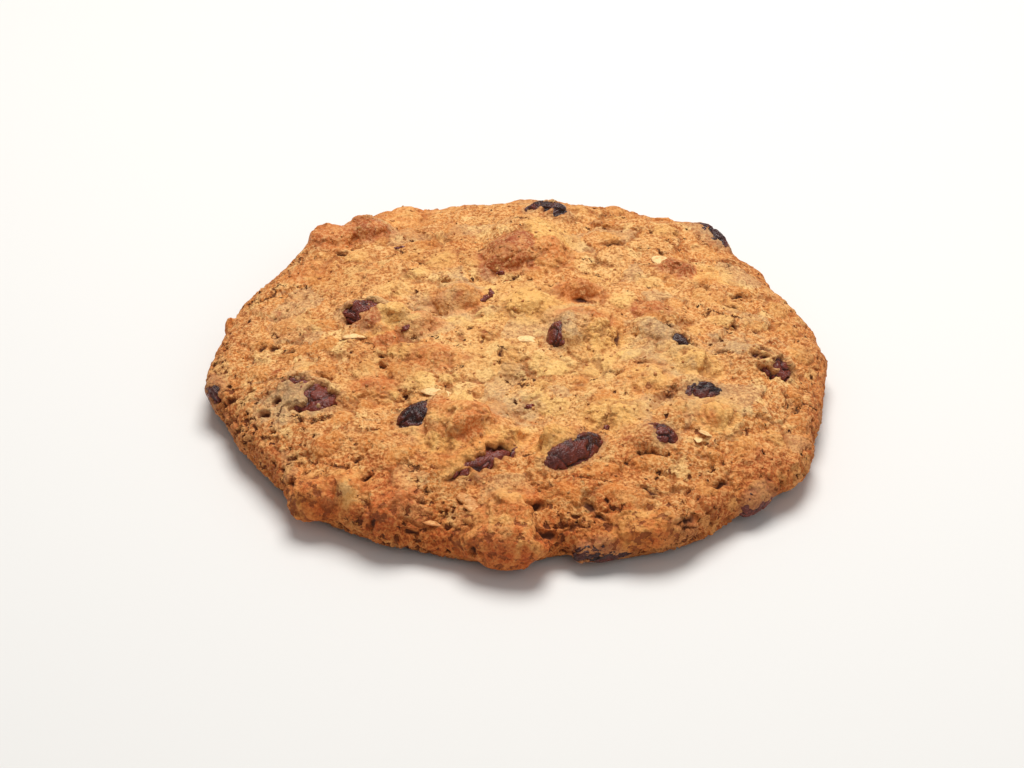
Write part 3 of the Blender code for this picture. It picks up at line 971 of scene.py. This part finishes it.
def weather_tree():
    """Pits, cracks and grain of the baked dough, and the marks that its colours follow."""
    sockets = (
        ("Flakes", "NodeSocketObject", None),
        ("Knobs", "NodeSocketObject", None),
        ("Raisins", "NodeSocketObject", None),
        ("Loaf", "NodeSocketObject", None),
        ("Grain", "NodeSocketFloat", 0.2 * MM),
        ("Pit depth", "NodeSocketFloat", 1.2 * MM),
        ("Ceiling", "NodeSocketFloat", 15.0 * MM),
        ("Material", "NodeSocketMaterial", None),
    )
    tree, sheet, given, end = geometry_tree("weather", sockets)
    position = sheet.add("GeometryNodeInputPosition")[0]
    normal = sheet.add("GeometryNodeInputNormal")[0]
    place = sheet.scaled(position, 1 / MM)
    on_wall = sheet.ease(sheet.from_axis(place), 42.0, 49.0)

    def near(name):
        """Distance in millimetres to another object's surface, and a reader of its marks."""
        body = sheet.add("GeometryNodeObjectInfo", None, {"Object": given[name]})["Geometry"]
        gap = sheet.add("GeometryNodeProximity", {"target_element": "FACES"}, {"Geometry": body})
        number = {"data_type": "FLOAT"}

        def mark(label):
            held = sheet.add("GeometryNodeInputNamedAttribute", number, {"Name": label})[0]
            values = {"Mesh": body, "Value": held}
            return sheet.add("GeometryNodeSampleNearestSurface", number, values)[0]

        return gap, mark

    flakes, flake_mark = near("Flakes")
    lumps, lump_mark = near("Knobs")
    fruit, _ = near("Raisins")
    loaf, _ = near("Loaf")
    flake_gap = flakes["Distance"] / MM
    knob_gap = lumps["Distance"] / MM
    flake = sheet.ease(flake_gap, 0.42, 0.12)
    knob = sheet.ease(knob_gap, 2.2, 0.3)
    stain = sheet.ease(fruit["Distance"] / MM, 1.4, 0.2)
    stand = sheet.vector("SUBTRACT", position, loaf["Position"])
    rise = sheet.vector("DOT_PRODUCT", stand, normal) / MM
    bend = sheet.bent(place)

    def shards(size, slope, step, offset):
        """Plates of dough and flake that lean every way, with steps between them.

        Gives their relief, a random number for each, and the distance to the next one.
        """
        spot = sheet.vector("ADD", bend, (offset, offset * 0.7, 0.0))
        cell = sheet.cells(spot, size)
        lean = sheet.vector("SUBTRACT", cell["Color"], (0.5, 0.5, 0.5))
        away = sheet.vector("SUBTRACT", spot, cell["Position"])
        plane = sheet.vector("DOT_PRODUCT", away, lean)
        edge = sheet.cells(spot, size, "DISTANCE_TO_EDGE")["Distance"] * size
        relief = plane * (2 * slope) + (sheet.part(cell["Color"], "X") - 0.5) * step
        return relief, sheet.part(cell["Color"], "Z"), edge

    south = sheet.ease(sheet.part(place, "Y"), -12.0, -32.0)
    coarse = on_wall * (0.10 + 0.90 * south)
    rough = sheet.ease(sheet.cloud(place, 15.0, 2.0), 0.38, 0.60, 0.35, 1.0) * (1 - 0.5 * on_wall)
    rough = rough.most(coarse)
    swell = (sheet.cloud(place, 5.5, 3.0, 0.5) - 0.5) * 1.25
    plates, plate, plate_edge = shards(5.6, 0.12, 0.30, 31.0)
    chips, chip, _ = shards(2.3, 0.14, 0.12, 53.0)
    plates = plates * rough
    chips = chips * (0.35 + 0.65 * rough)
    crumb = (0.42 - sheet.cells(bend, 1.1)["Distance"]) * 0.18
    grain = (sheet.cloud(place, 0.8, 2.0, 0.7) - 0.5) * given["Grain"] / MM * 1.6

    large, small, crack = sheet.pores(place)
    gaps = sheet.ease(sheet.cloud(place, 3.0, 1.0), 0.48, 0.56)
    seam = sheet.ease(knob_gap, 1.0, 0.5) * sheet.ease(knob_gap, 0.1, 0.4) * gaps * 0.6
    edge = sheet.ease(flake_gap, 0.75, 0.4) * sheet.ease(flake_gap, 0.1, 0.35) * gaps
    hole = large.most(small * 0.45).most(crack * 0.6).most(sheet.crumble(place) * 0.42)
    hole = hole * (1 - 0.7 * flake) * (1 - 0.8 * stain) * (1 - 0.6 * knob)
    split = sheet.ease(plate_edge, 0.45, 0.10) * sheet.ease(sheet.cloud(place, 4.0, 1.0), 0.50, 0.60)
    # Creases round the knobs and flakes and between plates: pressed in a little below, and darkened as
    # painted shade by the material.
    crease = seam.most(edge * 0.6).most(split * 0.8) * (1 - stain)

    calm = (1 - 0.55 * flake) * (1 - 0.5 * stain) * (1 - 0.75 * knob)
    relief = swell * (1 - 0.6 * stain) + (plates + chips) * calm * (1 + 0.2 * coarse)
    relief = relief + (crumb + grain) * calm * (0.8 + 0.5 * coarse)
    sole = sheet.ease(sheet.part(place, "Z"), 2.2, 0.6)
    deep = hole.most(crease * 0.35) * given["Pit depth"]
    out = relief * (1 - 0.85 * sole) * MM - deep * (1 - 0.6 * sole)
    moved = sheet.vector("ADD", position, sheet.scaled(normal, out))
    level = sheet.part(moved, "Z").most(0.0).least(given["Ceiling"])
    parts = (sheet.part(moved, "X"), sheet.part(moved, "Y"), level)
    kept = sheet.add("ShaderNodeCombineXYZ", None, parts)[0]

    current = given["Geometry"]
    marks = {
        "rest": place,
        "crease": crease,
        "rise": rise + relief,
        "flake": flake,
        "tint": flake_mark("tint"),
        "knob": knob,
        "toast": lump_mark("toast"),
        "stain": stain,
        "plate": plate,
        "chip": chip,
    }
    for name, value in marks.items():
        current = store(sheet, current, name, value, kind="FLOAT_VECTOR" if name == "rest" else "FLOAT")
    current = sheet.add("GeometryNodeSetPosition", None, {"Geometry": current, "Position": kept})[0]
    current = sheet.add("GeometryNodeSetShadeSmooth", None, {0: current})[0]
    current = sheet.add("GeometryNodeSetMaterial", None, {0: current, "Material": given["Material"]})[0]
    sheet.put(end.inputs[0], current)
    return tree


def dough_material(settings):
    """Baked oat dough: pale in the hollows, toasted on the lumps, with painted shade in the pores, cracks,
    creases and gouges.
    """
    material, sheet, inputs = material_sheet("baked_crust")
    place = sheet.named("rest", "Vector")
    height = sheet.part(place, "Z")
    radius = sheet.from_axis(place)
    names = ("rise", "crease", "flake", "tint", "toast", "stain", "knob", "gouge", "plate", "chip")
    rise, crease, flake, tint, toast, stain, knob, gouge, plate, chip = map(sheet.named, names)
    stand = height - dome(radius)

    def shifted(x, y):
        return sheet.vector("ADD", place, (x, y, 0.0))

    broad = sheet.cloud(place, 12.0, 3.0, 0.6)
    patch = sheet.cloud(shifted(40.0, 0.0), 3.6, 3.0, 0.55, 0.6)
    orange = sheet.cloud(shifted(0.0, 30.0), 4.5, 3.0, 0.55, 0.8)
    fleck = sheet.cloud(shifted(0.0, 70.0), 0.9, 3.0, 0.7)
    dust = sheet.cloud(place, 0.46, 2.0, 0.70)
    outer = sheet.ease(radius, 16.0, 46.0)
    front = sheet.ease(sheet.part(place, "Y"), -20.0, -40.0)

    def toned(shade):
        """Where the crown baked to a shade of its own, from 0 to 1."""
        share = 0.0
        for tone in TONES:
            if tone.shade == shade:
                away = sheet.vector("SUBTRACT", place, (tone.x, tone.y, 0.0))
                far = sheet.from_axis(away) + (patch - 0.5) * 14 + (broad - 0.5) * 8
                share = sheet.ease(far, tone.reach, tone.reach * 0.4).most(share)
        return share

    cream, golden, brown = (toned(shade) for shade in ("cream", "golden", "brown"))
    grey = toned("grey").most(sheet.ease(abs(plate - 0.66), 0.09, 0.05) * 0.6)
    grey = grey * sheet.ease(fleck, 0.62, 0.44, 0.4, 1.0)

    baked = outer * 0.50 + (broad - 0.5) + rise * 0.10 + (patch - 0.5) * 1.4
    browning = (orange - 0.5) * 2.5 + rise * 0.25 + stand * 0.10 + outer * 0.36 + front * 0.25
    plain = sheet.ease(radius, 24.0, 44.0, 0.38, 0.20) * sheet.ease(patch, 0.36, 0.52, 0.35, 1.0)
    colour = sheet.coated(
        settings.pale,
        (sheet.ease(baked, -0.30, 0.60), settings.golden),
        (sheet.ease(browning, 0.15, 1.1) * 0.85, settings.toasted),
        # Each plate of dough has a shade of its own, strongest on the crown.
        (sheet.ease(plate, 0.32, 0.26) * plain, srgb(238, 184, 108)),
        (sheet.ease(abs(plate - 0.46), 0.13, 0.08) * plain, srgb(214, 128, 56)),
        (golden * 0.50, srgb(208, 134, 66)),
        (cream * 0.55, srgb(236, 182, 108)),
        (grey * 0.60, srgb(190, 158, 116)),
        (sheet.ease(chip, 0.16, 0.12) * 0.55, srgb(246, 206, 134)),
        (sheet.ease(chip, 0.84, 0.88) * (1 - front) * 0.36, srgb(176, 96, 40)),
    )

    lump = sheet.coated(
        srgb(242, 184, 104),
        (sheet.ease(toast + (orange - 0.5), 0.25, 0.7), srgb(214, 120, 52)),
        (sheet.ease(toast + (patch - 0.5) * 0.9, 0.62, 1.15), srgb(164, 72, 30)),
    )
    browned = sheet.ease(tint + outer * 0.5, 0.0, 1.1)
    oat = sheet.mixed(browned, srgb(244, 196, 118), srgb(214, 134, 62))
    bedded = flake * (1 - 0.8 * knob)
    sandy = (1 - 0.4 * cream) * (1 - 0.35 * flake) * (1 - 0.4 * knob)
    colour = sheet.coated(
        colour,
        (knob * sheet.ease(patch, 0.30, 0.50, 0.6, 0.92), lump),
        (bedded * sheet.ease(patch, 0.40, 0.55, 0.45, 0.9), oat),
        # Sand: pale and brown flecks, and the same again in a finer dust.
        (sheet.ease(fleck, 0.50, 0.64) * sandy * 0.54, srgb(246, 202, 138)),
        (sheet.ease(fleck, 0.50, 0.35) * sandy * 0.66, srgb(158, 88, 38)),
        (sheet.ease(dust, 0.48, 0.60, 0.0, 0.44) * sandy, srgb(248, 205, 138)),
        (sheet.ease(dust, 0.49, 0.37, 0.0, 0.56) * sandy, srgb(146, 80, 36)),
        (grey * 0.40, srgb(196, 164, 122)),
    )

    ruddy = front * sheet.ease(orange, 0.36, 0.56, 0.1, 0.5) * (1 - 0.7 * golden)
    wall = sheet.ease(height, 10.0, 5.0) * sheet.ease(radius, 40.0, 47.0)
    foot = sheet.ease(height, 2.2, 0.4)
    colour = sheet.coated(
        colour,
        (ruddy, (0.88, 0.50, 0.20), "MULTIPLY"),
        (wall * 0.70, (0.74, 0.42, 0.22), "MULTIPLY"),
        (foot * 0.70, srgb(120, 76, 36)),
        (stain * (1 - 0.8 * knob) * 0.40, srgb(170, 134, 100)),
        (brown * 0.9, (0.90, 0.80, 0.72), "MULTIPLY"),
    )

    large, small, crack = sheet.pores(place)
    calm = (1 - 0.7 * flake) * (1 - 0.8 * stain) * (1 - 0.6 * knob)
    crumble = sheet.crumble(place) * (0.4 + 0.6 * outer)
    # Pores, cracks, crumb gaps, creases and gouges: the coats below darken them as painted shade.
    shaded_hollows = large.most(small).most(crack * 0.7).most(crumble * 0.62) * calm
    shaded_hollows = shaded_hollows.most(crease * 0.6).most(gouge)
    spot = sheet.pits(sheet.bent(shifted(21.0, 11.0)), 7.5, (0.8, 1.6), 0.6, 1.0)
    # Painted shade: dark red-brown in the crumb's gaps, and brown rims round the darker bottoms of the
    # pores, cracks, creases and gouges. The red-brown spots are the dough's own colour.
    colour = sheet.coated(
        colour,
        (sheet.ease(crumble, 0.0, 0.6) * 0.75, srgb(128, 58, 24)),
        (sheet.ease(shaded_hollows, 0.05, 0.40) * 0.45, srgb(156, 80, 34)),
        (sheet.ease(shaded_hollows, 0.35, 0.80), settings.deep),
        (spot * (1 - stain) * 0.6, srgb(160, 66, 28)),
    )

    inputs["Specular IOR Level"].default_value = 0.3
    roughness = sheet.ease(knob * toast, 0.0, 1.0, 0.85, 0.62)
    granule = sheet.cells(place, 0.6)["Distance"]
    relief = fleck * 0.7 + dust * 0.35 - shaded_hollows * 1.2 - granule * 0.5
    finish_material(sheet, inputs, colour, roughness, relief, strength=0.9, height=0.42)
    return material


def flake_forms(tree, bare, thick):
    """The flakes that are placed one by one, in their places: the bare ones or the others."""
    forms = []
    for number, oat in enumerate(OATS):
        if oat.bare != bare:
            continue
        form = form_of(flake_mesh(number + 10))
        point, normal = spot_on(tree, oat.x, oat.y)
        normal = (normal * 0.4 + UP * 0.6).normalized()
        spans = (oat.length, oat.width / FLAKE_WIDTH, oat.length * thick + 1.0, 1 / MM)
        raised = Matrix.Translation(point + normal * (oat.lift - 0.10) * MM)
        tilted = frame_on(normal, oat.heading) @ Matrix.Rotation(math.radians(oat.tilt), 4, "Y")
        form.transform(raised @ tilted @ (Matrix.Diagonal(spans) * MM))
        tint = form.verts.layers.float.new("tint")
        for vertex in form.verts:
            vertex[tint] = oat.toast
        forms.append(form)
    return forms


class COOKIE_OT_dough(bpy.types.Operator):
    """Bakes the dough round its solid"""

    bl_idname = "cookie.dough"
    bl_label = "Dough"

    def execute(self, context):
        settings = context.scene.cookie_dough
        oats = context.scene.cookie_oats
        # The loaf: the solid with its pockets filled, and the knobs set in it.
        fills = [pocket_fill(raisin) for raisin in RAISINS]
        bare = blended("bare_loaf", [solid_form("dough"), *fills], 12)
        lumps = knobs(ray_tree(bare))
        loaf = blended("loaf", [form_of(bare.data), form_of(lumps.data)], 5)
        fruit = add_object("fruit", joined("fruit", [solid_form(raisin.node) for raisin in RAISINS]))
        # Flakes baked into the crust, strewn and placed one by one.
        strew = strew_tree()
        long = oats.length
        flakes = strewn(
            "baked_in_flakes",
            loaf,
            strew,
            Shapes=hidden_collection("flake_shapes", [flake_mesh(seed) for seed in range(4)]),
            Spacing=oats.baked_in * 0.1 * MM,
            Density=90000.0,
            Smallest=(long * 0.55, long * 0.55, long * 0.9),
            Largest=(long * 1.0, long * 1.0, long * 1.5),
            Lift=0.15 * MM,
            Tilt=0.22,
            Floor=4.5 * MM,
            Slopes=0.0,
            Seed=4,
        )
        placed = flake_forms(ray_tree(loaf), False, 1.2)
        flakes.data = joined("flakes", [form_of(flakes.data), *placed])
        # One skin round it all, gouged, weathered and thinned out.
        dough = add_object("baked_dough", joined("baked_dough", [form_of(loaf.data), form_of(flakes.data)]))
        remesh(dough, settings.skin_step)
        smooth(dough, 2)
        make_plain(dough)
        gouged(dough, ray_tree(loaf))
        use_tree(
            dough,
            weather_tree(),
            Flakes=flakes,
            Knobs=lumps,
            Raisins=fruit,
            Loaf=loaf,
            Grain=settings.grain,
            **{"Pit depth": settings.pit_depth, "Ceiling": CAD_BOX[1][2] + 0.1 * MM},
            Material=dough_material(settings),
        )
        make_plain(dough)
        thin_out(dough, DOUGH_FACES, lambda place: place.z < SOLE)
        keep_largest(dough)
        for _ in range(3):
            drop_spikes(dough.data, SPIKE, SPIKE_FLOOR)
        for helper in (bare, lumps, flakes, fruit, loaf):
            bpy.data.objects.remove(helper)
        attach(dough, "root")
        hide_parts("dough")
        return {"FINISHED"}


# The raisins.


def long_axes(form):
    """The middle of a shape, and its axes from the longest to the shortest.

    Each axis points the way of its largest part, so that they are the same in every run.
    """
    points = np.array([vertex.co for vertex in form.verts])
    middle = points.mean(axis=0)
    _, _, axes = np.linalg.svd(points - middle, full_matrices=False)
    for axis in axes:
        axis *= np.sign(axis[np.argmax(np.abs(axis))])
    return Vector(middle), Matrix(axes.tolist())


def wrinkle(way, number):
    """Depth of the folds at a point given in millimetres along a raisin's axes."""
    # Deep folds run along the raisin, and fine ones every way.
    drift = Vector((number * 5.9 + 2.3, number * 3.3, 0.0))
    shifts = (Vector((0.0, 0.0, 0.0)), Vector((31.4, 0.0, 0.0)), Vector((0.0, 47.2, 0.0)))
    bend = Vector([noise.noise(way / 2.4 + drift + shift) for shift in shifts]) * 0.9
    warped = Vector((way.x / 4.2, way.y / 1.8, way.z / 1.8)) + bend + drift
    fold = abs(noise.noise(warped))
    fine = abs(noise.noise((way + bend) / 0.75 + drift))
    return 0.85 * math.exp(-((fold / 0.13) ** 2)) + 0.34 * math.exp(-((fine / 0.14) ** 2))


def skin_marks(form):
    """The layers that the skin's material reads: how folded, dusty and red-brown it is, where the red-brown
    on a raisin's sides is painted light glowing through the skin.
    """
    return [form.verts.layers.float.new(name) for name in ("fold", "dust", "red")]


def raisin_piece(raisin, number, depth, material):
    """A wrinkled copy of a raisin's solid, grown to press against the dough."""
    thing = add_object(raisin.node.replace("raisin", "dried"), mesh_from("raisin", solid_form(raisin.node)))
    rounded(thing, 3)
    form = form_of(thing.data)
    middle, axes = long_axes(form)
    form.normal_update()
    fold, dust, red = skin_marks(form)
    moves = []
    for vertex in form.verts:
        folded = wrinkle(axes @ (vertex.co - middle) / MM, number)
        vertex[fold] = folded
        moves.append((vertex, vertex.normal * (raisin.growth * MM - folded * depth)))
    for vertex, move in moves:
        vertex.co += move
    # dust is stronger on top. red is the raisin's own red, with more on the sides that face away from up:
    # painted light glowing through the skin.
    for vertex in form.verts:
        level = max(0.0, vertex.normal.z)
        vertex[dust] = raisin.dust * (0.5 + 0.5 * level)
        vertex[red] = raisin.red + 0.35 * (1 - level)
    form.to_mesh(thing.data)
    form.free()
    dress(thing, material)
    return thing


def raisin_material(settings):
    """Dried grape skin: nearly black, red-brown where it is redder of its own and as painted light glowing
    through its sides, with painted shade in the furrows of its folds, dusty on its folds.
    """
    material, sheet, inputs = material_sheet("dried_skin")
    place = object_place(sheet)
    fold, dust, red = map(sheet.named, ("fold", "dust", "red"))
    patch = sheet.cloud(place, 2.6, 3.0, 0.6)
    fine = sheet.cloud(place, 0.35, 3.0, 0.65)
    ruddy = sheet.ease(patch * 1.6 + red * 0.8, 0.95, 1.75)
    powder = sheet.ease(fine + dust * 0.30 - fold * 0.25, 0.62, 0.98)
    powder = powder * sheet.ease(patch + dust * 0.5, 0.55, 0.9)
    # ruddy is the raisin's own red-brown together with the painted glow of light through its sides; the
    # lighter red flecks follow it.
    colour = sheet.coated(
        settings.skin,
        (ruddy, settings.flesh),
        (sheet.ease(fine, 0.48, 0.68) * ruddy * 0.4, srgb(168, 80, 56)),
        # Painted shade in the furrows of the folds.
        (sheet.ease(fold, 0.2, 0.9) * 0.7, srgb(20, 9, 10)),
        (powder * 0.50, srgb(172, 142, 116)),
    )
    inputs["Specular IOR Level"].default_value = 0.44
    roughness = sheet.ease(powder + fine * 0.3, 0.1, 0.9, 0.14, 0.75)
    relief = fine + sheet.cloud(place, 0.8, 2.0, 0.5, 1.0) * 0.7
    finish_material(sheet, inputs, colour, roughness, relief, strength=0.8, height=0.26)
    return material


class COOKIE_OT_raisins(bpy.types.Operator):
    """Wrinkles every raisin"""

    bl_idname = "cookie.raisins"
    bl_label = "Raisins"

    def execute(self, context):
        settings = context.scene.cookie_raisins
        material = raisin_material(settings)
        for number, raisin in enumerate(RAISINS):
            piece = raisin_piece(raisin, number, settings.wrinkle, material)
            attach(piece, "root")
            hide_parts(raisin.node)
        return {"FINISHED"}


# Bare oat flakes, crumbs and scraps of raisin on the crust.


def oat_material(settings):
    """Bare oat flakes: cream, browned at their edges and in patches."""
    material, sheet, inputs = material_sheet("oat_flake")
    place = object_place(sheet)
    tint, rim = map(sheet.named, ("tint", "rim"))
    patch = sheet.cloud(place, 1.6, 3.0, 0.6)
    fine = sheet.cloud(place, 0.35, 2.0, 0.6)
    singed = sheet.ease(rim + (patch - 0.5) * 0.5 + tint * 0.2, 0.85, 1.1)
    colour = sheet.coated(
        settings.colour,
        (tint, srgb(222, 152, 80)),
        (sheet.ease(patch + tint * 0.2, 0.48, 0.75) * 0.8, srgb(206, 132, 66)),
        (sheet.ease(fine, 0.50, 0.66) * 0.4, srgb(246, 214, 152)),
        (sheet.ease(fine, 0.46, 0.34) * 0.5, srgb(170, 98, 44)),
        (singed * 0.7, srgb(176, 102, 44)),
    )
    roughness = sheet.ease(patch, 0.2, 0.8, 0.6, 0.85)
    finish_material(sheet, inputs, colour, roughness, fine, strength=0.5, height=0.12)
    return material


class COOKIE_OT_oats(bpy.types.Operator):
    """Lays the bare oat flakes on the crust"""

    bl_idname = "cookie.oats"
    bl_label = "Oat flakes"

    def execute(self, context):
        settings = context.scene.cookie_oats
        tree = ray_tree(bpy.data.objects["baked_dough"])
        oats = add_object("bare_oats", joined("bare_oats", flake_forms(tree, True, 0.4)))
        rounded(oats, 1)
        dress(oats, oat_material(settings))
        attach(oats, "root")
        return {"FINISHED"}


class Scrap(NamedTuple):
    """A torn bit of raisin in the crust."""

    x: float
    y: float
    length: float
    width: float
    heading: float


SCRAPS = table(
    Scrap,
    (-4.9, 8.8, 3.0, 1.6, 25), (-4.2, 9.6, 2.2, 1.0, 100), (-2.3, 16.4, 2.4, 0.9, 0),
    (-17.8, -1.6, 1.8, 1.4, 30), (1.9, -21.0, 1.4, 1.0, 0), (13.4, -26.6, 1.6, 1.1, 10),
    (-19.6, 26.8, 2.4, 0.8, 0),
)


def scrap_form(scrap, number):
    """A torn bit of raisin, without its place."""
    form = bmesh.new()
    bmesh.ops.create_icosphere(form, subdivisions=3, radius=0.5)
    fold, dust, red = skin_marks(form)
    spans = Vector((scrap.length, scrap.width, 0.8 + 0.3 * scrap.width))
    for vertex in form.verts:
        way = Vector(a * b for a, b in zip(vertex.co, spans))
        folded = wrinkle(way, FIRST_SCRAP + number)
        torn = 1 + 0.8 * noise.noise(vertex.co * 3.0 + Vector((number * 4.4, 0.0, 0.0)))
        vertex[fold], vertex[dust], vertex[red] = folded * 0.3, 0.0, 0.9
        vertex.co = way * torn * (1 - 0.2 * folded) * MM
    return form


class COOKIE_OT_scraps(bpy.types.Operator):
    """Sets the torn bits of raisin in the crust"""

    bl_idname = "cookie.scraps"
    bl_label = "Raisin scraps"

    def execute(self, context):
        tree = ray_tree(bpy.data.objects["baked_dough"])
        forms = []
        for number, scrap in enumerate(SCRAPS):
            form = scrap_form(scrap, number)
            point, normal = spot_on(tree, scrap.x, scrap.y)
            sunk = Matrix.Translation(point - normal * SCRAP_SINK * MM)
            form.transform(sunk @ frame_on(normal, scrap.heading))
            forms.append(form)
        scraps = add_object("raisin_scraps", joined("raisin_scraps", forms))
        dress(scraps, bpy.data.materials["dried_skin"])
        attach(scraps, "root")
        return {"FINISHED"}


def crumb_mesh(seed):
    """A crumb one unit across."""
    form = bmesh.new()
    bmesh.ops.create_icosphere(form, subdivisions=1, radius=0.5)
    for vertex in form.verts:
        vertex.co *= 1 + 0.9 * noise.noise(vertex.co * 4 + Vector((seed * 9.1, 0.0, 0.0)))
    return mesh_from("crumb", form)


def crumb_material():
    """Crumbs of the crust, some pale and some toasted."""
    material, sheet, inputs = material_sheet("crumb")
    fine = sheet.cloud(object_place(sheet), 0.4, 2.0, 0.6)
    colour = sheet.coated(
        srgb(216, 158, 92),
        (sheet.ease(sheet.named("tint"), 0.1, 0.9), srgb(178, 108, 54)),
        (sheet.ease(fine, 0.5, 0.66) * 0.4, srgb(244, 200, 132)),
        (sheet.ease(fine, 0.48, 0.34) * 0.6, srgb(140, 78, 36)),
    )
    finish_material(sheet, inputs, colour, sheet.ease(fine, 0.2, 0.8, 0.7, 0.9))
    return material


class COOKIE_OT_crumbs(bpy.types.Operator):
    """Strews crumbs over the crust"""

    bl_idname = "cookie.crumbs"
    bl_label = "Crumbs"

    def execute(self, context):
        surface = bpy.data.objects["baked_dough"]
        crumbs = strewn(
            "crumbs",
            surface,
            bpy.data.node_groups["strew"],
            Shapes=hidden_collection("crumb_shapes", [crumb_mesh(seed) for seed in range(4)]),
            Spacing=1.5 * MM,
            Density=300000.0,
            Smallest=(0.4 * MM, 0.4 * MM, 0.25 * MM),
            Largest=(0.9 * MM, 0.8 * MM, 0.4 * MM),
            Lift=0.0,
            Tilt=0.6,
            Floor=9.5 * MM,
            Seed=21,
            Material=crumb_material(),
        )
        crumbs.data.shade_smooth()
        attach(crumbs, "root")
        return {"FINISHED"}


# The stage.


def plain_material(name, colour, roughness):
    material, sheet, inputs = material_sheet(name)
    finish_material(sheet, inputs, (*colour, 1.0), roughness)
    return material


def aim(thing, place, target):
    thing.location = place
    thing.rotation_mode = "QUATERNION"
    thing.rotation_quaternion = (target - place).to_track_quat("-Z", "Y")


def soft_light(name, place, target, size, power, colour=(1.0, 1.0, 1.0)):
    lamp = bpy.data.lights.new(name, "AREA")
    lamp.shape = "DISK"
    lamp.size = size
    lamp.energy = power
    lamp.color = colour
    aim(add_object(name, lamp), place, target)


class COOKIE_OT_stage(bpy.types.Operator):
    """Sets the floor, the lights and the camera"""

    bl_idname = "cookie.stage"
    bl_label = "Stage"

    def execute(self, context):
        settings = context.scene.cookie_stage
        form = bmesh.new()
        bmesh.ops.create_grid(form, x_segments=1, y_segments=1, size=3.0)
        floor = add_object("floor", mesh_from("floor", form))
        floor.data.materials.append(plain_material("pale_floor", (0.80, 0.79, 0.77), 0.7))

        middle = UP * 5 * MM
        warm = (1.0, 0.98, 0.95)
        soft_light("key", Vector((0.03, 0.20, 0.56)), middle, size=0.40, power=3.7, colour=warm)
        soft_light("fill", Vector((0.30, -0.50, 0.42)), middle, size=0.60, power=0.6)
        world = bpy.data.worlds.new("studio")
        world.use_nodes = True
        background = world.node_tree.nodes["Background"]
        background.inputs["Color"].default_value = (1.0, 1.0, 1.0, 1.0)
        background.inputs["Strength"].default_value = 0.30
        context.scene.world = world
        context.scene.view_settings.view_transform = "Standard"

        camera = bpy.data.cameras.new("camera")
        camera.lens = settings.lens
        camera.sensor_width = SENSOR_WIDTH
        width = CAD_BOX[1][0] - CAD_BOX[0][0]
        distance = settings.lens / camera.sensor_width * width / settings.width_share
        target = Vector((-0.85, -5.0, 5.0)) * MM
        back = Vector((0.0, -math.cos(settings.elevation), math.sin(settings.elevation)))
        stand = add_object("camera", camera)
        aim(stand, target + back * distance, target)
        context.scene.camera = stand
        return {"FINISHED"}


class COOKIE_PT_panel(bpy.types.Panel):
    """Lists the steps that bake the cookie"""

    bl_idname = "COOKIE_PT_panel"
    bl_label = "Oatmeal raisin cookie"
    bl_space_type = "VIEW_3D"
    bl_region_type = "UI"
    bl_category = "Cookie"

    def draw(self, context):
        for name, steps in GROUPS:
            settings = getattr(context.scene, name)
            box = self.layout.box()
            for prop in settings.bl_rna.properties:
                if not prop.is_readonly and prop.identifier != "name":
                    box.prop(settings, prop.identifier)
            for step in steps:
                box.operator(step.bl_idname)


GROUPS = (
    ("cookie_dough", (COOKIE_OT_dough,)),
    ("cookie_raisins", (COOKIE_OT_raisins, COOKIE_OT_scraps)),
    ("cookie_oats", (COOKIE_OT_oats, COOKIE_OT_crumbs)),
    ("cookie_stage", (COOKIE_OT_stage,)),
)
SETTINGS = {
    "cookie_dough": DoughSettings,
    "cookie_raisins": RaisinSettings,
    "cookie_oats": OatSettings,
    "cookie_stage": StageSettings,
}
CLASSES = (*SETTINGS.values(), *(step for _, steps in GROUPS for step in steps), COOKIE_PT_panel)


def register():
    for kind in CLASSES:
        bpy.utils.register_class(kind)
    for name, kind in SETTINGS.items():
        setattr(bpy.types.Scene, name, PointerProperty(type=kind))


def unregister():
    for name in SETTINGS:
        delattr(bpy.types.Scene, name)
    for kind in reversed(CLASSES):
        bpy.utils.unregister_class(kind)


def main():
    register()
    bpy.ops.cookie.dough()
    bpy.ops.cookie.raisins()
    bpy.ops.cookie.scraps()
    bpy.ops.cookie.oats()
    bpy.ops.cookie.crumbs()
    bpy.ops.cookie.stage()


if __name__ == "__main__":
    main()
